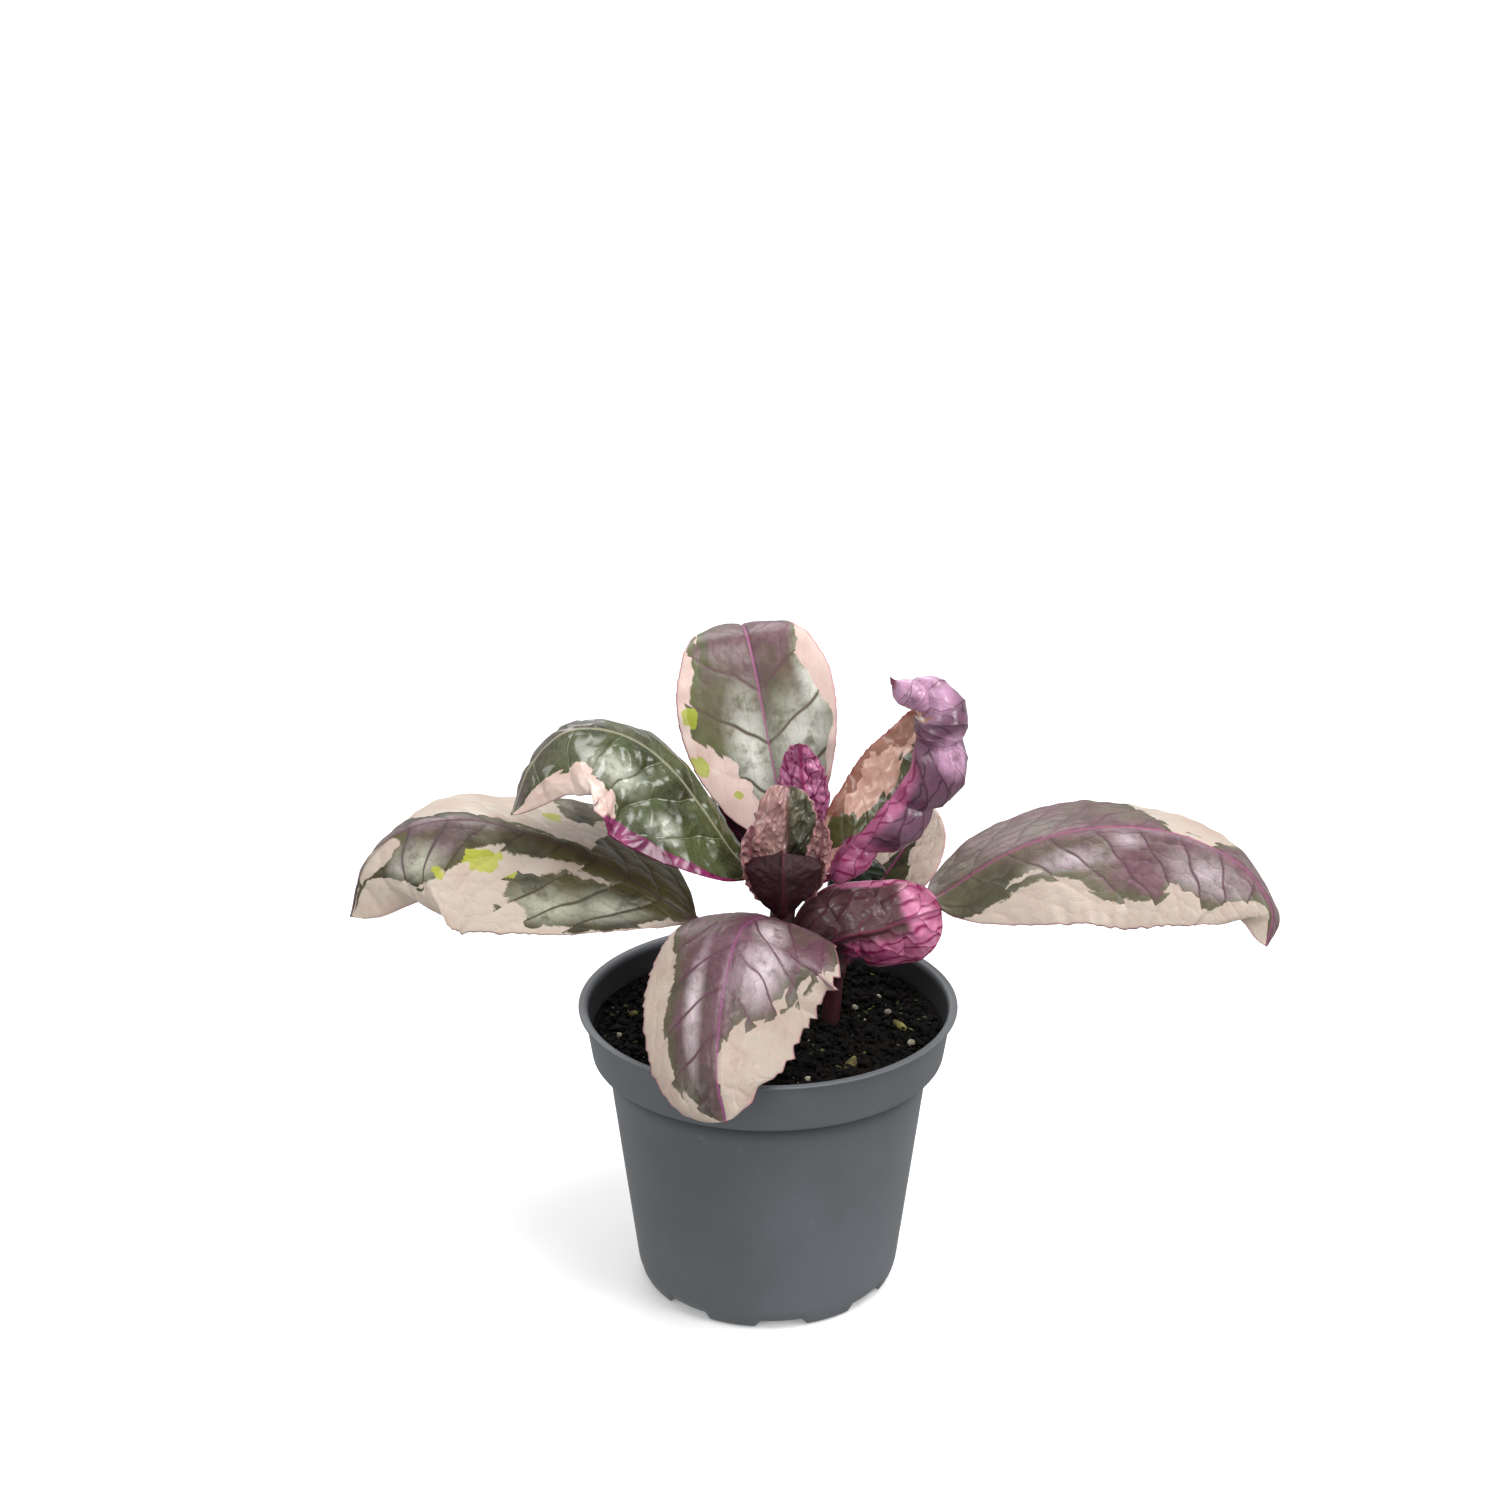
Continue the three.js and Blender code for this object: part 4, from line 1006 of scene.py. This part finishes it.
grow(
    "upper_left_blade", "upper_left_leaf", "green_leaf",
    {"green": "464d2c", "shade": "2a2f19", "vein": "8f9772", "rib": "98967c", "cream": "d5bfb4",
     "blush": "c5a296", "purple": "5c4a50", "gloss": 0.16, "sheen": "d3d6c6", "relief": 0.12,
     "wax": 0.5, "under": "3a1c26", "under_light": "64343f", "under_vein": "7a2547", "stalk": "5e3a3d",
     "rim": "8f5d70", "pale_vein": "c9a9a0", "rosy": "5a1238", "rosy_light": "86305f"},
    spine=[(4.5, 0, 45), (-8, -3, 57), (-19.5, -5, 75), (-27.5, -7, 87.5), (-37.5, -9, 98),
           (-48.5, -13, 104.5), (-60.5, -17, 105.5), (-70.5, -20, 97), (-77, -22, 81)], bare=0.1,
    face=[(0.6, -0.75, 0.6), (0.35, -0.7, 0.7), (0, -0.7, 0.8), (-0.5, -0.6, 0.6)], width=(29, 20),
    fullest=(0.47, 0.42), base=(0.9, 0.6), point=(0.8, 0.8), fold=((-2, -6, -14), (-14, -50)),
    curl=((26, 0, -20), (-60, -50)), wave=(0.8, 2),
    border=((1.2, 1.2, 1.2, 1.2, 1.15, 0.85, 0.62, 0.5, 0.48, 0.42, 0.3), (1.2, 1.2)),
    purple=((0, 0, 0, 0, 0.2, 0.9), (0, 0, 0, 0.2, 0.6, 1)),
    # the silver ovals here are painted highlights on the glossy green blade
    silver=[(0.56, -0.42, 0.16, 0.25), (0.3, -0.6, 0.08, 0.2)], rosy=[(0.3, -1.0, 0.34, 0.2)],
    quilt=0.8, spacing=16.0, net=0.05, groove=0.2, warp=0.08, crumple=(1.2, 22.0), cord=0.05,
    teeth=((0.25, 4.0), (0.25, 4.0)), seed=37)


# ---------------------------------------------------------------- back leaf
# The upright leaf behind: grey-green, purple towards its tip, with a strong magenta midrib,
# maroon side veins and cream-pink margins.

grow(
    "back_blade", "back_leaf", "silver_purple_leaf",
    {"green": "5b5e3a", "shade": "414427", "vein": "64304a", "rib": "9c5480", "sheen": "e4e5db",
     "cream": "cfbab1", "blush": "c2a498", "purple": "5f4148", "bloom": "856a70", "lime": "9aa32f",
     "relief": 0.2},
    spine=[(5, 1.5, 48), (5.5, 9.5, 62), (3, 13, 75.5), (0, 17, 90.5), (-3.5, 24, 108), (-6.5, 33, 119),
           (-8.5, 48, 118.5), (-8.5, 62, 111.5)], bare=0.1,
    face=[(0, -1, 0.3), (0, -1, 0.2), (0, -0.9, 0.6), (0, -0.3, 1)], width=(26, 22.5),
    fullest=(0.45, 0.48), base=(0.8, 0.8), point=(1.6, 1.9), fold=((14, 10), (14, 10)),
    curl=((20, -30), (20, -30)), wave=(0.5, 2),
    border=((0.1, 0.2, 0.32, 0.52, 0.84, 0.86, 0.8, 0.92, 1.1, 1.1, 1.1),
            (1, 1, 0.8, 0.92, 1, 0.75, 0.62, 0.9, 1.1, 1.1, 1.1)),
    lime=[(0.46, -0.88, 0.03, 0.09), (0.31, -0.9, 0.03, 0.1), (0.2, -0.6, 0.02, 0.1)],
    purple=((0, 0, 0.1, 0.1, 0.3, 0.7, 0.9, 1, 1, 1), (0, 0, 0, 0.1, 0.4, 0.8, 1, 1, 1, 1)),
    # the silver ovals here are the leaf's silver with painted highlights over it, strongest left of the
    # midrib
    silver=[(0.3, -0.22, 0.28, 0.36), (0.3, 0.5, 0.24, 0.6), (0.5, 0.75, 0.16, 0.28)], spacing=17.0,
    lean=0.7, bend=0.0, warp=0.05, quilt=0.12, net=0.04, jag=0.2, teeth=((0.35, 4.5), (0.35, 4.5)),
    seed=41)


# ---------------------------------------------------------------- curled right leaf
# An upright leaf whose right half rolls forward over itself, so that its blistered purple
# underside shows beside the salmon inner face.

grow(
    "curled_right_blade", "curled_right_leaf", "magenta_leaf",
    {"cream": "e6bba8", "blush": "c8937f", "green": "5f6238", "shade": "434726", "rib": "87794f",
     "vein": "5a4630", "pale_vein": "b98f7d", "under": "3c202e", "under_light": "70485f",
     "under_vein": "551234", "under_highlight": "bd8fae", "gloss": 0.18, "rim": "8a3a52", "stalk": "7d3350",
     "rosy": "8c2457", "rosy_light": "b4658c", "lime": "94604e", "relief": 0.2, "wax": 0.6},
    spine=[(5.5, 0.5, 47), (18, -2, 52.5), (29.5, -2, 65), (41, -2, 78.5), (50, -3, 94), (53, -4, 107),
           (48.5, -7, 117), (36.5, -12, 119)], bare=0.14,
    face=[(-0.45, -0.8, 0.5), (-0.5, -0.8, 0.4), (-0.5, -0.8, 0.2), (-0.5, -0.6, -0.3)],
    width=(16.5, 34), fullest=(0.38, 0.58), base=(0.6, 0.8), point=(1.5, 0.42),
    fold=((10, 10), (-40, -40, -40, -40, -38, -22, -10, -4)),
    curl=((10, 10), (240, 240, 240, 245, 250, 245, 250, 250)),
    border=((0.1, 0.25, 0.32, 0.25, 0.28, 0.45, 0.35, 0.15, 0.1, 0.05, 0.05),
            (0.2, 0.15, 0.15, 0.2, 0.3, 0.2, 0.1)), islands=[(0.14, -0.5, 0.07, 0.3)],
    lime=[(0.3, -1.0, 0.12, 0.3), (0.5, -1.0, 0.1, 0.22), (0.62, -0.9, 0.1, 0.3),
          # the silver ovals here are painted light: a lit patch on the rolled half and its lit tip
          (0.87, 0.0, 0.17, 3.0)], silver=[(0.95, 0.5, 0.16, 0.8), (0.66, 0.58, 0.1, 0.24)],
    rosy=[(0.06, 0.5, 0.2, 0.9), (0.35, 1.0, 0.3, 0.22)], spacing=9.0, cell=5.0, quilt=0.25, net=0.1,
    ruffle=0.8, crumple=(0.5, 13.0), lobes=((0, 1, 0), (5.0, 0.24, 0.22)), cord=0.15,
    teeth=((0.5, 4.0), (0.4, 5.0)), seed=43)


# ---------------------------------------------------------------- right leaf
# The long leaf that arches out to the right: silvery purple above its magenta midrib and below it, with
# painted highlights in places, and a broad cream margin on the near side.

grow(
    "right_blade", "right_leaf", "silver_purple_leaf",
    {"purple": "60404b", "bloom": "8a666f", "rib": "93496e", "vein": "4b2a3a", "sheen": "b8aab0",
     "green": "66634c", "shade": "46452f", "cream": "b6aa9d", "blush": "ac968a"},
    spine=[(21.5, 5, 17), (35.5, 9, 29), (54.5, 14, 39), (76.5, 15, 53.5), (97, 16, 60.5),
           (117.5, 16, 61.5), (136.5, 14, 57.5), (151.5, 11, 48.5), (159.5, 8, 36), (158, 6, 25)],
    bare=0.22, face=[(0, -0.3, 1), (0, -0.42, 0.9), (0, -0.45, 0.85), (0.5, -0.4, 0.8)], width=(23, 31),
    fullest=(0.4, 0.5), base=(0.45, 0.6), point=(0.6, 0.7), fold=((-14, -28, -28), (-14, -30, -30)),
    curl=((-6, -6), (-10, -10)),
    border=((1.2, 1.2, 1.2, 1.2, 1.2, 1.1, 0.1, 0.05, 1.1, 1.2, 1.2),
            (1.0, 0.9, 0.6, 0.5, 0.4, 0.34, 0.47, 0.56, 0.68, 0.74, 0.76, 0.78, 0.76, 0.45, 0.6, 0.75,
             0.7, 0.35, 0.15, 0.1, 0.1)), purple=((0.3, 0.6, 1, 1, 1, 1, 1), (0, 0.2, 0.7, 1, 1, 1, 1)),
    # the silver ovals here are the leaf's silver with painted highlights over it
    silver=[(0.5, 0.14, 0.06, 0.1), (0.72, 0.35, 0.16, 0.3), (0.35, 0.3, 0.15, 0.15)],
    teeth=((0.4, 5.0), (0.4, 5.0)), spacing=14.0, quilt=0.2, jag=0.18, seed=47)


# ---------------------------------------------------------------- front leaf
# The leaf that hangs forward over the rim: purple with silvery lights between its veins, partly real silver
# and partly painted highlight, fringed with green, cream on its far margins and coarsely toothed on one side.

grow(
    "front_blade", "front_leaf", "silver_purple_leaf",
    {"purple": "563140", "bloom": "765662", "rib": "80406a", "vein": "56293f", "sheen": "c6b8bd",
     "green": "504a37", "shade": "363321", "cream": "a89c8f", "blush": "9c887a"},
    spine=[(3.5, 0, 28), (0, -14, 44), (-8.5, -30, 46.5), (-13.5, -50, 35.5), (-15, -61, 24),
           (-15, -69, 15), (-12.5, -73, 5)], bare=0.16,
    face=[(0, -0.2, 1), (0, -0.5, 0.9), (0, -0.8, 0.6), (0, -1, 0.4)], width=(31, 24.5),
    fullest=(0.24, 0.5), base=(0.4, 0.8), point=(0.6, 0.45), fold=((6, -18, -12), (-16, -12)),
    curl=((-10, -16, -16), (-16, -16)),
    border=((1.1, 0.92, 0.88, 0.84, 0.78, 0.72, 0.52, 0.14, 0.05, 0.04, 0.03),
            (1.1, 1.1, 1.1, 0.95, 0.74, 0.7, 0.74, 0.8, 0.78, 0.6, 0.3)),
    purple=((1, 1, 1, 1, 0.8, 0.8, 0.6, 0.4), (1, 1, 1, 1, 1, 0.8, 0.5, 0.4)),
    # the silver ovals here are the leaf's silver with painted highlights over it
    silver=[(0.42, -0.35, 0.2, 0.28), (0.6, 0.35, 0.3, 0.14), (0.2, -0.25, 0.12, 0.22)], spacing=15.0,
    lean=0.8, quilt=0.25, jag=0.24, teeth=((3.2, 6.5), (1.0, 4.0)), seed=53)


# ---------------------------------------------------------------- side stem's small leaves
# A pale one behind, a curled one that shows its magenta underside, and a glossy dark one.

YOUNG_LEAF = {"young": True, "wave": (0.3, 2), "stations": 150, "steps": 36}


def grow_young(name, node, slot, tones, **form):
    """Makes one small leaf, with a thin stalk and a coarser skin than the large ones."""
    grow(name, node, slot, tones, **{**YOUNG_LEAF, **form})


grow_young(
    "pale_blade", "pale_leaf", "cream_leaf",
    {"stalk": "8a3b5a"},
    spine=[(24, 6.5, 31), (30, 10.5, 38), (38.5, 14, 48), (45.5, 18, 58), (50, 24, 67.5)], bare=0.22,
    face=[(-0.2, -0.9, 0.5), (-0.2, -0.9, 0.4)], width=(13, 13), curl=((20, 20), (10, 10)),
    border=((0.3, 0.4, 0.1, 0, 0), (0.5, 0.6, 0.3, 0.05, 0)), stations=140, spacing=7.0, cell=3.0,
    quilt=0.35, ruffle=0.3, teeth=((0.2, 3.0), (0.2, 3.0)), seed=59)
grow_young(
    "small_curled_blade", "small_curled_leaf", "magenta_leaf",
    {"under": "402529", "under_light": "5e4041", "under_vein": "6b1c40", "rim": "b0416d",
     "stalk": "6d1f3e", "rosy": "8a1e54", "rosy_light": "d282a4", "relief": 0.25, "wax": 0.35,
     "gloss": 0.28},
    spine=[(21.5, 5, 20), (17, -4, 28), (23.5, -9, 35), (34.5, -10, 38), (45, -9, 41.5),
           (53.5, -6, 43.5)], bare=0.2, face=[(0, 1, -0.2), (-0.1, 1, -0.1), (-0.1, 1, -0.2)],
    width=(18, 16.5), fullest=(0.6, 0.3), base=(0.6, 0.25), point=(0.35, 0.32), fold=((0, 0), (14, 14)),
    curl=((60, 60, 30), (40, 40)), teeth=((0.1, 4.0), (0.1, 4.0)), stations=180, steps=44, spacing=9.0,
    cell=4.6, quilt=0.35, net=0.1, crumple=(0.7, 11.0), warp=0.25, cord=0.1,
    lobes=((2.0, 0.3, 0.1), (1.6, 0.34, 0.3)),
    rosy=[(0.9, 0.0, 0.2, 1.3), (0.5, -0.9, 0.6, 0.85), (0.6, 1.0, 0.4, 0.2)], seed=61)
grow_young(
    "small_green_blade", "small_green_leaf", "green_leaf",
    {"green": "2f3d2b", "shade": "182016", "vein": "2a3426", "rib": "3c4a36", "gloss": 0.14,
     "stalk": "4a2032"},
    spine=[(23.5, 6, 31), (22, 7.5, 42), (26, 8, 48), (31.5, 9, 49.5), (37, 8, 49)],
    bare=0.3, face=[(-0.6, -0.8, 0.3), (0, -0.8, 0.6), (0, -0.8, 0.6)], width=(6, 6),
    fold=((-10, -10), (-10, -10)), curl=((-20, -20), (-20, -20)), wave=(0.2, 2), stations=80, steps=24,
    spacing=5.0, cell=2.4, quilt=0.3, ruffle=0.2, teeth=((0.1, 3.0), (0.1, 3.0)), seed=67)


# ---------------------------------------------------------------- shoot tip
# The crumpled young leaves and bracts at the top of the main stem: a maroon one to the left, a
# half cream one in the middle, a magenta one behind it, and a dark cup and two bracts in front.

grow_young(
    "maroon_blade", "maroon_leaf", "maroon_leaf",
    {"green": "3b1a22", "shade": "23090f", "vein": "5e1e3c", "rib": "74264a", "rim": "8a3a63"},
    spine=[(4.5, 2.5, 46.5), (-1.5, 10, 51.5), (-8.5, 13, 59), (-16, 13, 70)], bare=0.22,
    face=[(0.5, -0.9, 0.3), (0.5, -0.9, 0.3)], width=(4.5, 5), fullest=(0.4, 0.4), point=(0.9, 0.9),
    fold=((20, 20), (20, 20)), curl=((10, 10), (10, 10)), wave=(0.2, 2), stations=90, steps=24,
    spacing=5.0, cell=2.4, quilt=0.25, ruffle=0.2, teeth=((0.1, 3.0), (0.1, 3.0)), seed=71)
grow_young(
    "young_blade", "young_leaf", "young_leaf",
    {"green": "686450", "shade": "30331f", "cream": "ac8680", "blush": "70484a", "pale_vein": "6b4347",
     "vein": "2f3524", "gloss": 0.14, "rib": "7a5450", "rim": "9a6c6e", "wax": 0.6, "relief": 0.2},
    spine=[(5, -1, 48), (6, -4, 58), (6, -6, 69.5), (6, -6, 79.5), (6.5, -3, 82.5)],
    bare=0.12, face=[(0, -1, 0.2), (0, -1, 0.2)], width=(10, 9), fullest=(0.6, 0.6), base=(0.6, 0.6),
    point=(0.5, 0.5), curl=((10, 10), (10, 10)), border=((0, 0, 0, 0), (0.6, 0.8, 1, 0.9)), steps=40,
    spacing=6.0, cell=3.2, quilt=0.15, net=0.05, ruffle=1.6, groove=0.6, crumple=(2.2, 7.5),
    teeth=((1.6, 3.6), (1.4, 4.1)), seed=73)
grow_young(
    "young_purple_blade", "young_purple_leaf", "magenta_leaf",
    {"under": "7d2054", "under_light": "c67ba4", "under_vein": "8a1a56", "rim": "c0508c", "gloss": 0.16,
     "wax": 0.6, "relief": 0.2},
    spine=[(7, 1, 48), (10, 1.5, 62.5), (11, 3, 77), (10, 3.4, 86.5), (9.5, 1.5, 95)],
    bare=0.2, face=[(0, 1, 0.1), (0, 1, 0.1)], width=(8, 8), base=(0.6, 0.6), point=(0.8, 0.8),
    fold=((14, 14), (14, 14)), spacing=6.0, cell=3.4, quilt=0.1, net=0.05, ruffle=1.8,
    crumple=(2.4, 8.0), teeth=((1.2, 4.1), (1.3, 3.7)), seed=79)
grow_young(
    "young_cupped_blade", "young_cupped_leaf", "maroon_leaf",
    {"under": "1c030a", "under_light": "2c0611", "under_vein": "420a1b", "rim": "6a2038", "gloss": 0.5,
     "wax": 0.0},
    spine=[(4.5, -1, 38), (4.5, -8, 42), (4.5, -15, 51.5), (4.5, -17, 60.5), (4.5, -14, 65)], bare=0.18,
    face=[(0, 0.9, 0.4), (0, 1, 0.1)], width=(12, 12), fullest=(0.85, 0.85), base=(0.9, 0.9),
    point=(0.12, 0.12), fold=((8, 8), (8, 8)), curl=((24, 24), (24, 24)), stations=130, spacing=4.5,
    cell=2.6, quilt=0.1, net=0.05, cord=0.05, ruffle=1.6, crumple=(0.8, 9.0),
    teeth=((0.3, 3.0), (0.3, 3.0)), seed=83)
BRACTS = {
    "left_bract": ([(4, -1.5, 43), (-1.5, -6.5, 50), (-4.5, -9, 59), (-5.5, -10, 66), (-5, -10, 72.5)],
                   (0.3, -0.9, 0.3), (4, 3)),
    "right_bract": ([(6, -1.5, 43), (12, -6.5, 50), (15, -9, 59), (16.5, -10, 68), (16, -10, 75)],
                    (-0.3, -0.9, 0.3), (3.5, 3.5)),
}
for node, (spine, face, width) in BRACTS.items():
    grow_young(
        node + "_scale", node, "young_leaf",
        {"green": "9a706c", "shade": "5a3236", "vein": "50262e", "rib": "7f4a54", "rim": "a67276",
         "wax": 0.4, "gloss": 0.2, "relief": 0.2},
        spine=spine, bare=0.15, face=[face, face], width=width, stations=100, steps=24, spacing=3.0,
        cell=1.8, quilt=0.1, net=0.05, ruffle=1.2, crumple=(1.8, 5.5), teeth=((1.3, 3.1), (1.2, 3.6)),
        seed=len(spine) + len(node))


# ---------------------------------------------------------------- studio
# A white floor and backdrop under soft white light, the strongest from above on the right.
# Neither throws light back at the plant: the sky round it is paler above than below.

FLOOR_RADIUS = 3.0
WALL_HEIGHT = 4.0
SIDES = 96
around = np.linspace(0, 2 * math.pi, SIDES, endpoint=False)
rim = FLOOR_RADIUS * np.stack([np.cos(around), np.sin(around), 0 * around], 1)


def studio_white(name, glow, near):
    """Matt white paper with light of its own, less of it near the axis so that shadows show."""
    finish = Finish(name)
    away = finish.node("ShaderNodeVectorMath", {"operation": "LENGTH"}, {0: finish.place()}, 1)
    lit = finish.mix((near, near, near, 1), (1, 1, 1, 1), away.ramp(0.4, 2.0))
    finish.set(Base_Color=paint("f8f8f8"), Roughness=0.9, Specular_IOR_Level=0.0,
               Emission_Color=lit, Emission_Strength=glow)
    return finish.material


def staged(name, mesh, finish):
    """A part of the studio that only the camera sees."""
    thing = bpy.data.objects.new(name, mesh)
    bpy.context.scene.collection.objects.link(thing)
    thing.data.materials.append(finish)
    thing.visible_diffuse = False
    thing.visible_glossy = False
    thing.visible_transmission = False
    return thing


side = np.arange(SIDES)
fan = np.stack([np.full(SIDES, SIDES), side, (side + 1) % SIDES], 1)
sheet = mesh_of("floor", np.concatenate([rim, [(0, 0, 0)]]), triangles=fan)
staged("floor", sheet, studio_white("floor_white", 0.7, 0.22))
wall = mesh_of("backdrop", np.concatenate([rim, rim + [0, 0, WALL_HEIGHT]]), ring_quads(2, SIDES))
backdrop = staged("backdrop", wall, studio_white("backdrop_white", 1.0, 1.0))
backdrop.visible_shadow = False


def soft_light(name, place, target, across, watts):
    """A square soft box that faces a point on the axis."""
    light = bpy.data.lights.new(name, "AREA")
    light.shape = "SQUARE"
    light.size = across
    light.energy = watts
    box = bpy.data.objects.new(name, light)
    bpy.context.scene.collection.objects.link(box)
    box.location = place
    aim = Vector(target) - Vector(place)
    box.rotation_euler = aim.to_track_quat("-Z", "Y").to_euler()


soft_light("key", (0.5, -0.35, 1.5), (0.0, 0.0, 0.12), 0.9, 18.0)
soft_light("side", (1.2, -0.7, 0.6), (0.0, 0.0, 0.12), 0.5, 7.0)
soft_light("fill", (-0.9, -1.1, 0.5), (0.0, 0.0, 0.1), 0.6, 5.0)
soft_light("back", (-0.3, 1.1, 1.2), (0.0, 0.0, 0.15), 0.8, 7.0)

world = bpy.data.worlds.new("studio")
bpy.context.scene.world = world
world.use_nodes = True
sky = world.node_tree
direction = sky.nodes.new("ShaderNodeTexCoord")
height = sky.nodes.new("ShaderNodeSeparateXYZ")
strength = sky.nodes.new("ShaderNodeMapRange")
strength.inputs["From Min"].default_value = -0.6
strength.inputs["From Max"].default_value = 0.8
strength.inputs["To Min"].default_value = 0.45
strength.inputs["To Max"].default_value = 0.75
sky.links.new(direction.outputs["Generated"], height.inputs["Vector"])
sky.links.new(height.outputs["Z"], strength.inputs["Value"])
sky.links.new(strength.outputs["Result"], sky.nodes["Background"].inputs["Strength"])
sky.nodes["Background"].inputs["Color"].default_value = (1, 1, 1, 1)
bpy.context.scene.view_settings.view_transform = "Standard"

CAMERA_PLACE = (-0.0038, -0.74983, 0.45636)
CAMERA_TILT = 69.6
FOCAL_LENGTH = 62.25
SENSOR_WIDTH = 36

lens = bpy.data.cameras.new("camera")
lens.lens = FOCAL_LENGTH
lens.sensor_width = SENSOR_WIDTH
camera = bpy.data.objects.new("camera", lens)
bpy.context.scene.collection.objects.link(camera)
camera.location = CAMERA_PLACE
camera.rotation_euler = (math.radians(CAMERA_TILT), 0, 0)
bpy.context.scene.camera = camera
